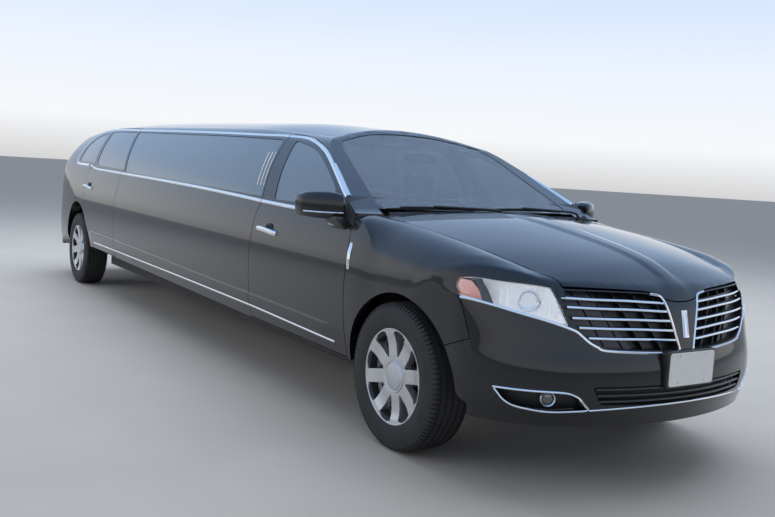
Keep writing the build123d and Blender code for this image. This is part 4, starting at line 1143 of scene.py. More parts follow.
def nose_line(points, out=0.0, gap=18.0):
    """Even points on the nose from rows of y and z."""
    return [on_nose(-abs(p.x), p.y, out) for p in evenly([(a, b, 0) for a, b in points], gap)]


def grille_pieces():
    """Two wings: a box sunk in the nose, slanted fins, a closed grey part and bright bars."""
    wing = softened(WING)
    deep = carve(twin(skin["front"], "deep"), front_volume(70, 120, 40))
    back = carve(front_volume(52, 130, 30), front_volume(58, 120, 40))
    wall = carve(within(deep, nose_cut(wing, 500, 1100)), nose_cut(grown(wing, -5), 400, 1150))
    sheet = within(back, nose_cut(grown(wing, -2), 500, 1100))
    box = join([keep_biggest(wall), keep_biggest(sheet)], "box")
    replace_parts(pair(box, "grille_box", "root", "grille_black")[0], "grille")

    layer = carve(front_volume(24, 140, 30), front_volume(50, 130, 40))
    inside = within(layer, nose_cut(grown(wing, -4), 500, 1100))
    fins = []
    for y in (476, 374, 272, 170):
        fins += [[(y - 88, 740), (y - 82, 740), (y + 3, 906), (y - 3, 906)],
                 [(y - 147, 640), (y - 141, 640), (y - 82, 741), (y - 88, 741)]]
    for y0, z0, y1, z1 in BARS:
        fins.append([(y0 + 20, z0 - 5), (y1 - 20, z1 - 6), (y1 - 20, z1 + 4), (y0 + 20, z0 + 6)])
    fins = [within(nose_cut(fin, 450, 1120), inside, keep=True) for fin in fins]
    bpy.data.objects.remove(inside)
    pair(join(fins, "fins"), "grille_fins", "root", "grille_black")

    closed = carve(front_volume(30, 140, 30), front_volume(35, 130, 40))
    within(closed, nose_cut(grown(wing, -1), 500, 1100))
    for y in (476, 560):
        carve(closed, nose_cut([(y - 148, 634), (y - 140, 634), (y + 5, 912), (y - 3, 912)], 450, 1120))
    within(closed, nose_cut([(500, 920), (900, 920), (900, 630), (280, 630)], 450, 1120))
    pair(closed, "grille_closed_part", "root", "grille_grey")

    bars = []
    for y0, z0, y1, z1 in BARS:
        y, z = 0.5 * (y0 + y1), 0.5 * (z0 + z1)
        run = ((y0 + 1, z0), (y + 120, z + 6), (y - 60, z + 2), (y1 - 16, z1))
        bars.append(tube("bar", nose_line(run, -8), 6))
    pair(join(bars, "bars"), "grille_bar_set", "root", "chrome")
    rim = [tube("rim", nose_line(line, out, gap), 6.5)
           for line, out, gap in ((GRILLE_LINE, -3, 10), (UNDER_LAMP, -2, 12))]
    pair(join(rim, "rim"), "grille_rim", "root", "chrome")
    piece(tube("emblem_bar", [on_nose(0, z, -2) for z in (705, 735, 765, 795, 826)], 17),
          "root", "chrome")
    piece(tube("emblem_inset", [on_nose(0, z, 11) for z in (716, 765, 815)], 6), "root", "satin")


def lamp_pieces():
    """Headlamps: clear lens, pale bowl and ribs with a faint painted glow, projector, side marker and divider.
    """
    lamp = softened(LAMP, 8)
    lens = carve(within(twin(skin["front"], "lamp_lens"), nose_cut(lamp)),
                 front_volume(3.5, 150, 20))
    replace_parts(pair(keep_biggest(lens), "headlamp_lens", "root", "lens")[0], "headlamps")
    bowl = within(front_volume(7, 150, 20), nose_cut(grown(lamp, -0.5)))
    carve(bowl, nose_cut(grown(lamp, -5), NEAR - 20, FAR + 20))
    limit = front_volume(96, 100, 40)
    carve(bowl, limit, keep=True)
    back = within(front_volume(62, 120, 30), nose_cut(grown(lamp, -2)))
    carve(back, limit)
    bowl = join([keep_biggest(bowl), keep_biggest(back)], "bowl")
    pair(bowl, "headlamp_bowl", "root", "reflector")

    place = aimed(on_nose(-743, 870, -36), (0.86, -0.5, 0.05))
    ring = turned("ring", [(34, 0), (40, -4), (46, 2), (52, 16), (49, 17), (42, 6), (36, 4)], 48, place)
    eye = turned("eye", [(0.01, -26), (31, -24), (33, 0), (29, 12), (20, 20), (10, 24), (0.01, 25)], 48,
                 place)
    pair(ring, "headlamp_ring", "root", "chrome")
    pair(eye, "headlamp_eye", "root", "lens")

    for base, look, face, depth, inset, outline in (
            ("headlamp_marker", "amber", 6, (30, 130, 40), -7,
             [(930, 930), (882, 918), (874, 880), (868, 838), (930, 838)]),
            ("headlamp_divider", "satin_black", 5, (50, 130, 40), -3,
             [(880, 960), (858, 960), (858, 916), (842, 820), (868, 820), (874, 880)])):
        part = within(front_volume(face, 150, 30), nose_cut(outline))
        within(part, nose_cut(grown(lamp, inset), NEAR - 10, FAR + 10))
        carve(part, front_volume(*depth))
        pair(keep_biggest(part), base, "root", look)
    facets = []
    for y, z0, z1 in ((835, 838, 905), (815, 834, 910), (690, 800, 905), (672, 795, 900), (655, 790, 860)):
        run = ((y, z0), (y - 6, 0.5 * (z0 + z1)), (y - 14, z1))
        facets.append(tube("facet", nose_line(run, -26, 30), 7))
    pair(join(facets, "facets"), "headlamp_facets", "root", "reflector")


def recess_pieces():
    """Fog lamps in their recesses, and the intake with its slats."""
    floor = within(front_volume(42, 140, 30), nose_cut(grown(softened(FOG, 14), 4)))
    carve(floor, front_volume(47, 130, 30))
    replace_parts(pair(keep_biggest(floor), "fog_recess", "root", "black")[0], "fog_lamps")
    pair(tube("rim", nose_line(FOG_LINE, -1, 12), 5), "fog_rim", "root", "chrome")
    place = aimed(on_nose(-692, 437, -34), (0.9, -0.42, 0))
    ring = turned("ring", [(24, -14), (34, -14), (36, 10), (33, 14), (28, 10), (26, -4)], 40, place)
    eye = turned("eye", [(0.01, -12), (25, -12), (27, 0), (21, 7), (10, 10), (0.01, 11)], 40, place)
    pair(ring, "fog_ring", "root", "satin")
    pair(eye, "fog_eye", "root", "side_glass")
    line = [on_nose(y, 413 - 16 * (y / 520) ** 2, -1) for y in levels(-520, 520, 26)]
    piece(tube("lower_lip", line, 5), "root", "chrome")
    slats = []
    for z, half in ((492, 500), (464, 492), (437, 480)):
        line = [on_nose(y, z) for y in levels(-half, half, half / 15)]
        slats.append(tube("slat", [(x - 9, y, z) for x, y, z in line], 6.5))
    piece(join(slats, "intake_slats"), "root", "satin_black")
    back = within(front_volume(52, 130, 30), face_prism(grown(INTAKE, 60), fx(NEAR), fx(FAR)))
    carve(back, front_volume(57, 120, 30))
    piece(keep_biggest(back), "root", "black").name = "intake_back"


PLATE_X = fx(1040)
PLATE_Z = 573
PLATE_HALF = (152.5, 76)


def plate_outline(z, by=0.0, corner=16):
    """Rounded outline of a plate about the middle height z."""
    a, b = PLATE_HALF[0] + by, PLATE_HALF[1] + (0.8 * by)
    return softened([(-a, z - b), (a, z - b), (a, z + b), (-a, z + b)], corner)


def plate_pieces():
    """Bare plates; the front one stands on a holder."""
    x = PLATE_X
    outline = plate_outline(PLATE_Z)
    plate = named(face_prism(outline, x - 3, x - 0.6), "front_plate")
    rim = tube("front_plate_rim", [(x - 1.6, y, z) for y, z in grown(outline, -5)], 1.5, cyclic=True)
    holder = named(face_prism(plate_outline(PLATE_Z, 10, 10), x - 46, x - 3.2), "plate_holder")
    piece(bevel(holder, 3), "root", "satin_black")
    piece(plate, "root", "plate", ["number_plate"])
    piece(rim, "root", "plate")
    bolts = []
    for y in (-89, 89):
        for z in (PLATE_Z - 62, PLATE_Z + 62):
            bolts.append(turned("bolt", [(0.01, -1), (6, -1), (6, 0.3), (4, 0.55), (0.01, 0.6)], 16,
                                moved(x - 0.62, y, z) @ tilted(90, "Y")))
    piece(join(bolts, "front_plate_bolts"), "root", "satin")
    slab = named(face_prism(plate_outline(0), -2.4, 0), "rear_plate")
    slab.data.transform(moved(rx(-1189), 0, 930) @ tilted(10.5, "Y"))
    piece(slab, "tailgate", "plate")


# Side details: mirrors, handles, spears, wipers

# Sections of the mirror's housing: y, x and z of the middle, depth and height
MIRROR = (
    (-918, fx(-616), 1172, 92, 96), (-930, fx(-626), 1172, 124, 128), (-955, fx(-642), 1172, 142, 144),
    (-1000, fx(-670), 1172, 150, 149), (-1045, fx(-702), 1171, 149, 144), (-1080, fx(-734), 1170, 130, 132),
    (-1100, fx(-752), 1168, 100, 106), (-1107, fx(-758), 1168, 66, 70),
)
# Black sail between the screen pillar and the window, its front tip on the fender's corner
SAIL = [
    (fx(-480), 1108), (fx(-566), 1168), (fx(-770), 1268), (fx(-762), 1144), (fx(-640), 1122),
    (fx(-520), 1098),
]
HANDLES = (("front", -1462, 962), ("rear", -5676, 1030))
CUP = [(0.01, -1), (46, -1), (50, 0.5), (53, 1.5), (55, -1.5), (46, -4), (0.01, -4)]
# Grip of a handle: along X, up and out from its middle
GRIP = (
    (118, -6, -2), (106, -5, 18), (76, -2, 31), (20, 1, 36), (-40, 3, 35), (-86, 3, 29), (-112, 2, 17),
    (-122, 1, -2),
)


def mirror_ring(row, by=0.0):
    """Rounded section of the mirror's housing, fuller at the front than at the glass."""
    y, x, z, dx, dz = row
    ring = []
    for i in range(40):
        a = 2 * math.pi * i / 40
        c, s = math.cos(a), math.sin(a)
        power = 0.55 if c > 0 else 0.38
        ring.append((x + (dx / 2 + by) * math.copysign(abs(c) ** power, c),
                     y, z + (dz / 2 + by) * math.copysign(abs(s) ** 0.6, s) + 6 * (1 - abs(c))))
    return ring


def mirror_pieces():
    """Mirrors on the front doors, with the black corner that carries them."""
    housing = volume("mirror", [mirror_ring(row) for row in MIRROR])
    lower = within(twin(housing, "lower"), block(fx(-1000), fx(-400), -1200, -800, 1000, 1138))
    carve(housing, block(fx(-1000), fx(-400), -1200, -800, 1000, 1139))
    pocket = volume("pocket", [mirror_ring(row, -7) for row in MIRROR[1:-1]])
    pocket.data.transform(Matrix.Translation((-0.075, 0, 0)))
    carve(housing, pocket, keep=True)
    bpy.data.objects.remove(pocket)
    pair(housing, "mirror_cap", "front_door_*", "paint", "mirror_*")
    pair(lower, "mirror_under", "front_door_*", "satin_black")
    line = [(row[1] + row[3] / 2 * 0.97, row[0], 1139) for row in MIRROR[1:-1]]
    pair(tube("line", evenly_points(line, 12), 4.5), "mirror_line", "front_door_*", "chrome")
    panes = []
    for i, (y, x, z, _, height) in enumerate(MIRROR[2:-2]):
        back = x - (72 if i else 76)
        pane = [(back, y, z - height * 0.4 + height * 0.84 * k / 8) for k in range(9)]
        panes.append(pane + [(back + 1, y, z + height * 0.42)])
    glass = volume("mirror_glass", panes)
    pair(glass, "mirror_glass", "front_door_*", "chrome")
    foot = face_prism([(-893, 1030), (-930, 1052), (-985, 1108), (-985, 1122), (-940, 1118), (-890, 1092)],
                      fx(-690), fx(-540))
    pair(bevel(foot, 7, 3), "mirror_foot", "front_door_*", "satin_black")
    upper = ((-545, -910, 1057), (-600, -929, 1061), (-660, -946, 1069), (-686, -951, 1075))
    lower = ((-545, -902, 1030), (-610, -912, 1030), (-672, -920, 1034))
    two = [tube("foot_line", [(fx(s), y, z) for s, y, z in line], radius)
           for line, radius in ((upper, 3.5), (lower, 3.2))]
    pair(join(two, "foot_lines"), "mirror_foot_lines", "front_door_*", "chrome")
    flag = within(twin(skin["pane_skin"], "sail"), side_prism(softened(SAIL, 10), -1, 500))
    carve(flag, block(fx(-471), fx(-100), -1010, 10, 30, 1300))
    pair(keep_biggest(flag), "mirror_sail", "front_door_*", "satin_black")


def handle_pieces():
    """Bright grips, each over a round black cup."""
    for label, s, z in HANDLES:
        px, py, pz = on_side(s + 30, z - 2)
        cup = turned("cup", CUP, 48, moved(px, py + 1, pz) @ tilted(90, "X"))
        pair(cup, "handle_cup_" + label, label + "_door_*", "satin_black")
        grip = tube("grip", evenly_points([on_side(s + ds, z + dz, out) for ds, dz, out in GRIP], 10), 13)
        grip.data.transform(squeezed(py, 0.8, pz, 1.25))
        pair(grip, "handle_" + label, label + "_door_*", "chrome")


def evenly_points(points, gap):
    """Even points on a smooth line, as plain tuples."""
    return [tuple(p) for p in evenly(points, gap)]


def squeezed(y, share_y, z, share_z):
    """Scaling about a line along X."""
    move = moved(0, y, z)
    return move @ Matrix.Diagonal((1, share_y, share_z, 1)) @ move.inverted()


MIRROR_CORNER = [(fx(-668), 1228), (fx(-640), 1232), (fx(-462), 1120), (fx(-462), 1078), (fx(-612), 1112)]


def spear_pieces():
    """Spear on the fender, marks on the long pane and the mirror's black corner."""
    foot, middle, tip = (Vector(on_side(s, z)) for s, z in ((-438, 852), (-440, 920), (-443, 988)))
    bend = 2 * middle - 0.5 * (foot + tip)
    line = []
    for t in levels(0, 1, 1 / 18):
        spot = foot * (1 - t) ** 2 + bend * 2 * t * (1 - t) + tip * t * t
        line.append(tuple(spot + Vector((0, 7 - 9 * math.sin(math.pi * t), 0))))
    pair(tube("spear", line, 12), "fender_spear", "root", "chrome")
    marks = []
    for s in (-1880, -1832, -1784):
        ends = [on_side(s + (1461 - z) * 0.4, z, -1.4) for z in (1235, 1292, 1347, 1402, 1458)]
        marks.append(tube("mark", ends, 3.2))
    pair(join(marks, "marks"), "pane_lines", "root", "plate")
    corner = carve(cabin_body(-2.5, foot=150, gap=45), cabin_body(6, foot=150, gap=45))
    within(corner, block(fx(-720), fx(-466), -1010, 0, 1000, 1260))
    within(corner, side_prism(softened(MIRROR_CORNER, 8)))
    pair(keep_biggest(corner), "mirror_corner", "front_door_*", "black")


# Each wiper's blade: y of its two ends, then z of them
WIPERS = ((0, -690, 1172, 1168), (640, 20, 1180, 1174))


def wiper_pieces():
    """Wipers at rest on the windscreen, and the cowl's seal."""
    made = []
    for k, (y0, y1, z0, z1) in enumerate(WIPERS):
        line = []
        for t in levels(0, 1, 1 / 24):
            y, z = y0 + (y1 - y0) * t, z0 + (z1 - z0) * t + 5 * math.sin(math.pi * t)
            line.append((screen_x(y, z) + 5, y, z + 5))
        blade = tube("blade", line, 5.5)
        spine = tube("spine", [(x + 5, y, z + 9) for x, y, z in line[3:-3]], 5)
        foot, mid = Vector((screen_x(y0 + 60, 1170) + 60, y0 + 90, 1150)), Vector(line[13])
        bends = [foot, foot + Vector((6, -40, 34)), 0.5 * (foot + mid) + Vector((14, 0, 26)),
                 mid + Vector((9, 0, 14))]
        arm = tube("arm", evenly_points(bends, 12), 7)
        cap = turned("cap", [(0.01, -12), (19, -12), (19, 6), (12, 13), (0.01, 14)], 24, moved(*foot))
        made.append(join([blade, spine, arm, cap], "wiper_%d" % (k + 1)))
    piece(made[0], "root", "black", ["wipers"])
    piece(made[1], "root", "black")
    cowl = []
    for y in levels(-700, 700, 35):
        cowl.append((screen_x(y, 1160) + 30, y, 1153 - 0.00002 * y * y))
    piece(tube("cowl_seal", cowl, 13), "root", "black")


# Wheels

TYRE_OUTER = [(229, -98), (240, -104.5), (262, -113), (296, -117.4), (330, -113.5), (346, -109), (354, -103)]
TYRE_INNER = [
    (354, 103), (346, 109), (330, 113.5), (305, 117), (302, 116), (298, 117.2), (272, 114.5), (268, 113.2),
    (264, 113.6), (246, 107.5), (240, 104.5), (229, 98), (215, 96), (215, -96),
]
# Each row of tread blocks: section, start as a share of the pitch, half length as a share of the pitch
TREAD_ROWS = (
    ([(350, -104), (366.2, -97), (368.8, -89), (369.4, -80), (358, -80)], 0.0, 0.34),
    ([(367, -69), (369.3, -69), (369.4, -45), (367, -45)], 0.5, 0.45),
    ([(367, -31), (369.4, -31), (369.4, -7), (367, -7)], 0.0, 0.45),
    ([(367, 7), (369.4, 7), (369.4, 31), (367, 31)], 0.5, 0.45),
    ([(367, 45), (369.4, 45), (369.3, 69), (367, 69)], 0.0, 0.45),
    ([(358, 80), (369.4, 80), (368.8, 89), (366.4, 97.5), (358, 107), (349, 111), (343, 109), (350, 102)],
     0.5, 0.34),
)
FACE = [
    (60, 60), (60, 86), (74, 90), (84, 93), (120, 91), (165, 91.5), (196, 97), (210, 103), (222, 105),
    (234, 106), (236, 108), (240, 108), (240, 104), (236, 98), (235, 88), (228, 60), (196, 50), (120, 46),
]
BARREL = [
    (239.5, -107), (239.5, -104), (228.6, -98), (228.6, 96), (223, 96), (219, 60), (206, 38), (206, -40),
    (216, -90), (222, -107),
]
CAP = [
    (0.01, 60), (76, 60), (83, 88), (83, 95), (80, 98), (74, 97), (71, 94), (67, 95), (64, 99), (40, 102.5),
    (12, 104), (0.01, 104.2),
]
ROTOR = [(60, 6), (60, 14), (62, 18), (76, 18), (80, 12), (172, 12), (172, -14), (80, -14), (70, 6)]
SPOKES = 8
SPOKE_HALF = 36
NUTS = 5
NUT_CIRCLE = 76


def tyre_and_tread():
    """Carcass with ribs round it, and cross cuts in the ribs made by copying one block round."""
    ribs = [(359, -97), (362.4, -89), (363, -81)]
    for z in (-76, -38, 0, 38, 76):
        ribs += [(368.8, z - 5.5), (362.4, z - 4), (362.4, z + 4), (368.8, z + 5.5)]
    ribs += [(363, 81), (362.4, 89), (359, 97)]
    parts = [turned("tyre", TYRE_OUTER + ribs + TYRE_INNER, 144)]
    count = round(bpy.context.scene.limo_sizes.tread_blocks)
    pitch = 2 * math.pi / count
    for profile, start, share in TREAD_ROWS:
        half = share * pitch * 365
        row = prism([(r, -half, z) for r, z in profile], (0, 2 * half, 0))
        with editing(row):
            bpy.ops.mesh.spin(steps=count, dupli=True, angle=2 * math.pi, center=(0, 0, 0), axis=(0, 0, 1))
        row.data.transform(Matrix.Rotation(start * pitch, 4, "Z"))
        parts.append(row)
    return join(parts, "tyre")


def wheel_face():
    """Cast face with broad flat spokes, cut out of one dished disc."""
    disc = turned("face", FACE, 128)
    half_pitch = math.pi / SPOKES
    edge = []
    for r in (108, 130, 160, 190, 220, 230):
        edge.append((r * math.cos(half_pitch) + 4, max(3.0, r * math.sin(half_pitch) - SPOKE_HALF)))
    window = edge + [(232.5, 26), (233.5, 0), (232.5, -26)] + [(x, -y) for x, y in reversed(edge)]
    window = softened(window, 3, 3)
    for i in range(SPOKES):
        opening = prism([(x, y, 30) for x, y in window], (0, 0, 90))
        opening.data.transform(Matrix.Rotation(2 * half_pitch * (i + 0.5), 4, "Z"))
        carve(disc, opening)
    return bevel(disc, 2.6, 2, 35)


def wheel_nuts():
    """One ring of nuts on the wheel's hub."""
    nuts = []
    for i in range(NUTS):
        a = 2 * math.pi * (i + 0.25) / NUTS
        place = moved(NUT_CIRCLE * math.cos(a), NUT_CIRCLE * math.sin(a), 0)
        nuts.append(turned("nut", [(0.01, 78), (9, 78), (9, 92), (7, 95), (0.01, 96)], 6, place))
    return join(nuts, "nuts")


def caliper_block():
    """Block that follows the disc's edge at the back of the wheel."""
    sweep = range(-26, 27, 6)
    points = [(178, 180 + d) for d in sweep] + [(120, 180 - d) for d in range(-24, 28, 6)]
    outline = [(r * math.cos(math.radians(a)), r * math.sin(math.radians(a)), -34) for r, a in points]
    return bevel(prism(outline, (0, 0, 62)), 8, 3)


def wheel_pieces():
    """Models each part of a wheel once and copies it to the four places."""
    parts = (
        (tyre_and_tread(), "tyre", "rubber", "tyre_rubber", "tyre_%s_%s", 25),
        (wheel_face(), "wheel_face", "alloy", "wheel_alloy", "rim_%s_%s", 30),
        (turned("barrel", BARREL, 96), "wheel_barrel", "alloy", "wheel_alloy", None, 30),
        (turned("cap", CAP, 72), "wheel_cap", "alloy", "wheel_alloy", None, 30),
        (turned("rotor", ROTOR, 96), "brake_rotor", "disc", "cast_metal", None, 30),
        (wheel_nuts(), "wheel_nuts", "satin", "chrome", None, 30),
    )
    caliper = caliper_block()
    for end, x in (("front", X_FRONT), ("rear", X_REAR)):
        for side_name, side in SIDES:
            upright = moved(x, side * TRACK / 2, TYRE_R) @ tilted(-90 * side, "X")
            for source, base, look, slot, node, angle in parts:
                one = twin(source, "%s_%s_%s" % (base, end, side_name))
                one.data.transform(upright @ tilted(11, "Z"))
                piece(one, "wheel_%s_%s" % (end, side_name), look,
                      [node % (end, side_name)] if node else (), angle)
            one = twin(caliper, "brake_caliper_%s_%s" % (end, side_name))
            one.data.transform(upright)
            piece(one, "steering_" + side_name if end == "front" else "root", "cast")
    for source in [part[0] for part in parts] + [caliper]:
        bpy.data.objects.remove(source)


# Cabin: padded seats, dashboard, steering wheel and mirror

def pad(name, size, place, tilt=0.0, channels=0):
    """Crowned cushion: a box pulled in at its corners, with sewn channels across it."""
    dx, dy, dz = size
    clear_selection()
    bpy.ops.mesh.primitive_cube_add(size=1)
    obj = fresh(name)
    obj.scale = (dx * MM, dy * MM, dz * MM)
    bpy.ops.object.transform_apply(location=False, rotation=False, scale=True)
    bpy.ops.object.mode_set(mode="EDIT")
    bpy.ops.mesh.select_all(action="SELECT")
    bpy.ops.mesh.subdivide(number_cuts=min(40, max(8, round(max(dx, dy) / 45))))
    bpy.ops.object.mode_set(mode="OBJECT")
    for v in obj.data.vertices:
        u, w, h = (2 * v.co.x / (dx * MM), 2 * v.co.y / (dy * MM), 2 * v.co.z / (dz * MM))
        edge = max(0.0, 1 - abs(u) ** 4) * max(0.0, 1 - abs(w) ** 6)
        v.co.z *= 0.72 + 0.32 * edge ** 0.5
        pull = 1 - 0.1 * h * h
        v.co.x *= 1 - 0.06 * abs(h) ** 3 - 0.015 * (1 - w * w)
        v.co.y *= 1 - min(0.06, 20 / dy) * abs(h) ** 3
        if channels and h > 0.5:
            v.co.z -= 0.012 * max(0.0, math.cos(math.pi * channels * (w + 1))) ** 8 * edge * pull
    m = obj.modifiers.new("round", "SUBSURF")
    m.levels = m.render_levels = 1
    only(obj)
    bpy.ops.object.modifier_apply(modifier=m.name)
    obj.data.transform(moved(*place) @ tilted(tilt, "Y"))
    return obj


FRONT_SEATS = (("right", -370), ("left", 370))
SEAT_X = fx(-1330)
SEAT_Z = 375.0
BENCH = (rx(910), fx(-2250))
BENCH_CUSHIONS = 6
BENCH_START = 420


def cushion(part):
    """Finishes a padded piece."""
    piece(part, "root", "leather", angle=60)


def solid_box(name, bounds, radius, look="black", nodes=(), segments=3):
    """Finishes a block with rounded edges."""
    box = named(bevel(block(*bounds), radius, segments), name)
    return piece(box, "root", look, nodes)


def seat_pieces():
    """Two front seats, the long bench on the left side and the seat across the rear."""
    x, z = SEAT_X, SEAT_Z
    for side_name, y in FRONT_SEATS:
        for part in (
                pad("front_cushion_" + side_name, (510, 500, 150), (x, y, z + 225), -3, 3),
                pad("front_back_" + side_name, (640, 480, 130), (x - 300, y, z + 520), -74, 3),
                pad("front_headrest_" + side_name, (180, 250, 90), (x - 395, y, z + 900), -78)):
            cushion(part)
        base = solid_box("front_seat_base_" + side_name,
                         (x - 200, x + 200, y - 190, y + 190, z + 0.5, z + 148), 12)
        posts = [tube("post", [(x - 372, y + dy, z + 780), (x - 395, y + dy, z + 880)], 6)
                 for dy in (-50, 50)]
        piece(join(posts, "headrest_posts_" + side_name), "root", "satin")
        if side_name == "right":
            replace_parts(base, "front_seats")
    x0, x1 = BENCH
    span = (x1 - x0 - BENCH_START) / BENCH_CUSHIONS
    for i in range(BENCH_CUSHIONS):
        x = x0 + BENCH_START + span * (i + 0.5)
        seat = pad("bench_cushion_%d" % (i + 1), (span - 6, 500, 130), (x, 500, 700))
        back = pad("bench_back_%d" % (i + 1), (span - 6, 400, 110), (0, 0, 0))
        back.data.transform(moved(x, 705, 945) @ tilted(84, "X"))
        cushion(seat)
        cushion(back)
    for i, y in enumerate((-410, 10, 430)):
        cushion(pad("rear_cushion_%d" % (i + 1), (400, 412, 130), (x0 + 200, y, 700), 0, 2))
        cushion(pad("rear_back_%d" % (i + 1), (440, 412, 110), (x0 - 50, y, 960), -82, 2))
    solid_box("bench_plinth", (x0 - 50, x1 - 10, 265, 685, 376, 640), 15, nodes=["lounge_seat"])
    solid_box("rear_seat_plinth", (x0 - 50, x0 + 385, -610, 255, 490, 640), 15)


DASH_X = fx(-516)
DASH_HALF = 728
# Section of the dashboard from its foot round to its underside, ahead of the driver
DASH = [
    (0, 760), (0, 1060), (-30, 1098), (-120, 1110), (-250, 1100), (-320, 1072), (-352, 1030), (-356, 985),
    (-340, 930), (-326, 880), (-260, 820), (-170, 765),
]
WHEEL_RADIUS = 185
WHEEL_SPOKES = ((8, 178), (8, -178), (-175, 0))


def dash_pieces():
    """Dashboard with a hood over the instruments, console, steering wheel and inside mirror."""
    curve = softened(DASH, 20, 4)
    rings = []
    for y in levels(-DASH_HALF, DASH_HALF, DASH_HALF / 15):
        hood = 18 * (math.exp(-((y - 370) / 170) ** 2) + 0.45 * math.exp(-((y + 330) / 240) ** 2)) - 12
        bow = 40 * (y / DASH_HALF) ** 2
        rings.append([(min(DASH_X, DASH_X + x + (bow if x < -100 else 0)), y, z + (hood if z > 1000 else 0))
                      for x, z in curve])
    piece(volume("dash_top", rings), "root", "dash", ["dashboard"], 40)
    solid_box("middle_console", (fx(-1000), fx(-640), -108, 108, 598, 870), 24, "dash", segments=4)

    clear_selection()
    bpy.ops.mesh.primitive_torus_add(major_radius=WHEEL_RADIUS * MM, minor_radius=14.5 * MM,
                                     major_segments=72, minor_segments=16)
    parts = [fresh("steering_ring")]
    for x, y in WHEEL_SPOKES:
        parts.append(tube("spoke", [(0, 0, -6), (x * 0.5, y * 0.5, -10), (x, y, 0)], 11))
    parts.append(turned("hub", [(0.01, -34), (48, -32), (58, -18), (54, 4), (30, 14), (0.01, 15)], 40))
    wheel = join(parts, "steering_wheel_rim")
    wheel.data.transform(moved(fx(-985), 370, 990) @ tilted(66, "Y"))
    piece(wheel, "root", "leather", ["steering_wheel"], 40)
    piece(pad("inside_mirror", (28, 240, 66), (fx(-1190), 0, 1478), 18), "root", "black")
    stem = [(fx(-1190), 0, 1490), (fx(-1202), 0, 1508), (fx(-1216), 0, 1524)]
    piece(tube("inside_mirror_stem", stem, 8), "root", "black")


UNDERSIDE = {
    "underbody": ("floor_pan", "rear_floor", "front_frame", "firewall"),
    "cast": ("front_suspension", "rear_suspension", "drivetrain", "knuckle_right", "knuckle_left"),
    "pipe": ("exhaust",), "engine": ("engine_block",), "tank": ("fuel_tank",),
}


def underside_finishes():
    """Gives the solids that stay in sight from below their finishes."""
    for look, names in UNDERSIDE.items():
        for name in names:
            node = frame["nodes"][name]
            node.data.materials.clear()
            node.data.materials.append(MATERIALS[look])


# Stage: floor, sky light and the camera of the photograph

# The photograph's camera: place in metres, directions in radians, focal length in pixels
EYE = (6.6707, -3.3577, 1.3863)
YAW, PITCH, ROLL = 2.55563729, 0.1000022, 0.0594348
FOCUS = 883.858
PHOTO_WIDTH = 775
SENSOR = 36
# Sky by height, from straight down at 0 to straight up at 1
SKY = (
    (0.0, (0.5, 0.5, 0.5)), (0.49, (0.6, 0.6, 0.6)), (0.52, (0.93, 0.94, 0.96)), (0.56, (0.84, 0.9, 1.0)),
    (0.63, (0.52, 0.71, 1.0)), (1.0, (0.34, 0.57, 1.0)),
)
SKY_LIGHT = (0.55, 0.56, 0.58, 1)
# Each lamp: name, place, aim, size, power, colour
LAMPS = (
    ("overhead_light", (-1.5, 2.0, 7.5), (-0.5, 0.5, 0), (15, 9), 1150, (0.93, 0.96, 1.0)),
    ("side_light", (-5, -15, 5.5), (0, 0, 0.8), (16, 6), 900, (1.0, 0.97, 0.93)),
)


def sky():
    """Even light for the scene; the painted sky shows only to the camera, in gloss and through glass."""
    world = bpy.data.worlds.new("sky")
    bpy.context.scene.world = world
    world.use_nodes = True
    nodes, links = world.node_tree.nodes, world.node_tree.links
    place = nodes.new("ShaderNodeTexCoord")
    split = nodes.new("ShaderNodeSeparateXYZ")
    scaled = nodes.new("ShaderNodeMapRange")
    scaled.inputs["From Min"].default_value = -1
    ramp = nodes.new("ShaderNodeValToRGB")
    while len(ramp.color_ramp.elements) < len(SKY):
        ramp.color_ramp.elements.new(0.5)
    for element, (at, tint) in zip(ramp.color_ramp.elements, SKY):
        element.position = at
        element.color = (*tint, 1)
    path = nodes.new("ShaderNodeLightPath")
    seen = nodes.new("ShaderNodeMath")
    both = nodes.new("ShaderNodeMath")
    seen.operation = both.operation = "MAXIMUM"
    mix = nodes.new("ShaderNodeMix")
    mix.data_type = "RGBA"
    mix.inputs[6].default_value = SKY_LIGHT
    for start, end in (
            (place.outputs["Generated"], split.inputs["Vector"]),
            (split.outputs["Z"], scaled.inputs["Value"]),
            (scaled.outputs["Result"], ramp.inputs["Fac"]),
            (path.outputs["Is Camera Ray"], seen.inputs[0]),
            (path.outputs["Is Glossy Ray"], seen.inputs[1]),
            (seen.outputs[0], both.inputs[0]),
            (path.outputs["Is Transmission Ray"], both.inputs[1]),
            (both.outputs[0], mix.inputs[0]),
            (ramp.outputs["Color"], mix.inputs[7]),
            (mix.outputs[2], nodes["Background"].inputs["Color"])):
        links.new(start, end)


def lamps():
    """The area lights of the stage."""
    for name, place, aim, (width, depth), power, tint in LAMPS:
        data = bpy.data.lights.new(name, "AREA")
        data.shape = "RECTANGLE"
        data.size = width
        data.size_y = depth
        data.energy = power
        data.color = tint
        lamp = bpy.data.objects.new(name, data)
        lamp.visible_glossy = False
        bpy.context.scene.collection.objects.link(lamp)
        lamp.location = place
        lamp.rotation_euler = (Vector(aim) - Vector(place)).to_track_quat("-Z", "Y").to_euler()


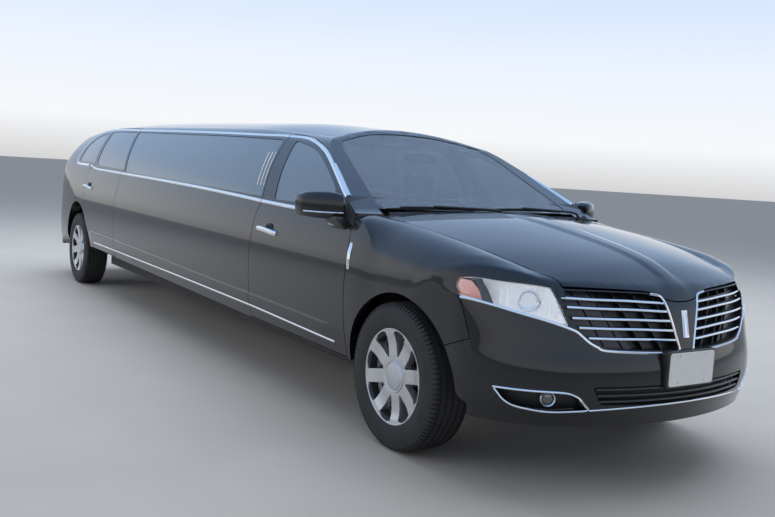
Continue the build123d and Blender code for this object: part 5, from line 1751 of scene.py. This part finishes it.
def photo_camera():
    """Camera where the photo was taken from."""
    spot = Vector(EYE)
    look = Vector((math.cos(YAW) * math.cos(PITCH), math.sin(YAW) * math.cos(PITCH), -math.sin(PITCH)))
    level = Vector((math.sin(YAW), -math.cos(YAW), 0))
    over = level.cross(look)
    right = math.cos(ROLL) * level + math.sin(ROLL) * over
    up = math.cos(ROLL) * over - math.sin(ROLL) * level
    data = bpy.data.cameras.new("camera")
    data.sensor_width = SENSOR
    data.lens = FOCUS / PHOTO_WIDTH * SENSOR
    camera = bpy.data.objects.new("camera", data)
    bpy.context.scene.collection.objects.link(camera)
    rows = [(right[i], up[i], -look[i], spot[i]) for i in range(3)]
    camera.matrix_world = Matrix(rows + [(0, 0, 0, 1)])
    bpy.context.scene.camera = camera


def stage_pieces():
    """Floor, sky, lights and camera."""
    bpy.context.scene.view_settings.view_transform = "Standard"
    clear_selection()
    bpy.ops.mesh.primitive_circle_add(vertices=96, radius=140, fill_type="NGON")
    floor = fresh("floor")
    floor.data.materials.append(finish("floor_grey", bpy.context.scene.limo_colours.floor, 0.75, tone=0.03,
                                       spread=0.05, scale=1.6, grain=0.6, grain_scale=160))
    sky()
    lamps()
    photo_camera()


# Add-on: the values a user may change, one operator for each group of pieces, and the panel

def length(name, text, value, low=0.001, high=0.1):
    """A length that a user may change."""
    return bpy.props.FloatProperty(name=name, description=text, default=value, min=low, max=high,
                                   unit="LENGTH")


def colour(name, text, value):
    """A colour that a user may change."""
    return bpy.props.FloatVectorProperty(name=name, description=text, default=value, min=0, max=1, size=3,
                                         subtype="COLOR")


class LimoSizes(bpy.types.PropertyGroup):
    """Sizes of the looks."""
    gap: length("Panel gap", "Width of the gap round doors and bonnet", 0.0055)
    trim: length("Window trim", "Width of the bright strip over the side windows", 0.026)
    tread_blocks: bpy.props.IntProperty(name="Tread blocks", description="Blocks round each row of the tread",
                                        default=96, min=24, max=120)


class LimoColours(bpy.types.PropertyGroup):
    """Colours of the finishes."""
    paint: colour("Paint", "Colour under the clear coat", (0.004, 0.0045, 0.007))
    chrome: colour("Chrome", "Bright trim", (0.86, 0.87, 0.89))
    wheel: colour("Wheels", "Cast wheels", (0.6, 0.61, 0.63))
    side_glass: colour("Side glass", "Tinted windows", (0.03, 0.045, 0.055))
    screen_glass: colour("Windscreen", "Clear glass", (0.8, 0.88, 0.92))
    leather: colour("Leather", "Seats and bench", (0.035, 0.034, 0.035))
    marker: colour("Marker", "Side marker in the headlamps", (0.72, 0.26, 0.2))
    tail_lens: colour("Tail lamps", "Lamp band at the rear", (0.45, 0.01, 0.012))
    floor: colour("Floor", "Floor of the stage", (0.37, 0.37, 0.37))


class LIMO_OT_finishes(bpy.types.Operator):
    """Makes the finishes and gives the underside its own"""
    bl_idname = "limo.finishes"
    bl_label = "Finishes"

    def execute(self, context):
        MATERIALS.update(finishes())
        underside_finishes()
        return {"FINISHED"}


class LIMO_OT_skin(bpy.types.Operator):
    """Makes the outer form that panels and glass are cut from"""
    bl_idname = "limo.skin"
    bl_label = "Outer form"

    def execute(self, context):
        build_skin()
        return {"FINISHED"}


class LIMO_OT_panels(bpy.types.Operator):
    """Cuts roof, sides, doors, tailgate, bonnet, fenders and bumpers"""
    bl_idname = "limo.panels"
    bl_label = "Painted panels"

    def execute(self, context):
        cabin_panels()
        front_panels()
        return {"FINISHED"}


class LIMO_OT_glass(bpy.types.Operator):
    """Cuts all the windows"""
    bl_idname = "limo.glass"
    bl_label = "Glass"

    def execute(self, context):
        cabin_glass()
        return {"FINISHED"}


class LIMO_OT_trim(bpy.types.Operator):
    """Lays the bright strips on the sides"""
    bl_idname = "limo.trim"
    bl_label = "Bright trim"

    def execute(self, context):
        bright_trim()
        spear_pieces()
        return {"FINISHED"}


class LIMO_OT_front(bpy.types.Operator):
    """Builds the split grille, headlamps, recesses and plates"""
    bl_idname = "limo.front"
    bl_label = "Front end"

    def execute(self, context):
        grille_pieces()
        lamp_pieces()
        recess_pieces()
        plate_pieces()
        return {"FINISHED"}


class LIMO_OT_side_details(bpy.types.Operator):
    """Builds mirrors, handles and wipers"""
    bl_idname = "limo.side_details"
    bl_label = "Mirrors, handles, wipers"

    def execute(self, context):
        mirror_pieces()
        handle_pieces()
        wiper_pieces()
        return {"FINISHED"}


class LIMO_OT_wheels(bpy.types.Operator):
    """Builds tyres with tread, cast wheels and brakes"""
    bl_idname = "limo.wheels"
    bl_label = "Wheels"

    def execute(self, context):
        wheel_pieces()
        return {"FINISHED"}


class LIMO_OT_cabin(bpy.types.Operator):
    """Builds the padded seats, bench, dashboard and steering wheel"""
    bl_idname = "limo.cabin"
    bl_label = "Cabin"

    def execute(self, context):
        seat_pieces()
        dash_pieces()
        return {"FINISHED"}


class LIMO_OT_stage(bpy.types.Operator):
    """Sets the floor, the light and the camera"""
    bl_idname = "limo.stage"
    bl_label = "Stage"

    def execute(self, context):
        drop_skin()
        stage_pieces()
        return {"FINISHED"}


OPERATORS = (LIMO_OT_finishes, LIMO_OT_skin, LIMO_OT_panels, LIMO_OT_glass, LIMO_OT_trim, LIMO_OT_front,
             LIMO_OT_side_details, LIMO_OT_wheels, LIMO_OT_cabin, LIMO_OT_stage)


class LIMO_PT_panel(bpy.types.Panel):
    """Sidebar panel with the values and the operators."""
    bl_idname = "LIMO_PT_panel"
    bl_label = "Limousine"
    bl_space_type = "VIEW_3D"
    bl_region_type = "UI"
    bl_category = "Limousine"

    def draw(self, context):
        for group in (context.scene.limo_sizes, context.scene.limo_colours):
            for name in group.__annotations__:
                self.layout.prop(group, name)
        for operator in OPERATORS:
            self.layout.operator(operator.bl_idname)


CLASSES = (LimoSizes, LimoColours) + OPERATORS + (LIMO_PT_panel,)


def register():
    """Registers the classes and puts the values on the scene."""
    for cls in CLASSES:
        bpy.utils.register_class(cls)
    bpy.types.Scene.limo_sizes = bpy.props.PointerProperty(type=LimoSizes)
    bpy.types.Scene.limo_colours = bpy.props.PointerProperty(type=LimoColours)


def unregister():
    """Takes the values and the classes away again."""
    del bpy.types.Scene.limo_sizes, bpy.types.Scene.limo_colours
    for cls in reversed(CLASSES):
        bpy.utils.unregister_class(cls)


def main():
    """Builds the whole scene through the operators."""
    register()
    for operator in OPERATORS:
        group, name = operator.bl_idname.split(".")
        getattr(getattr(bpy.ops, group), name)()


if __name__ == "__main__":
    main()
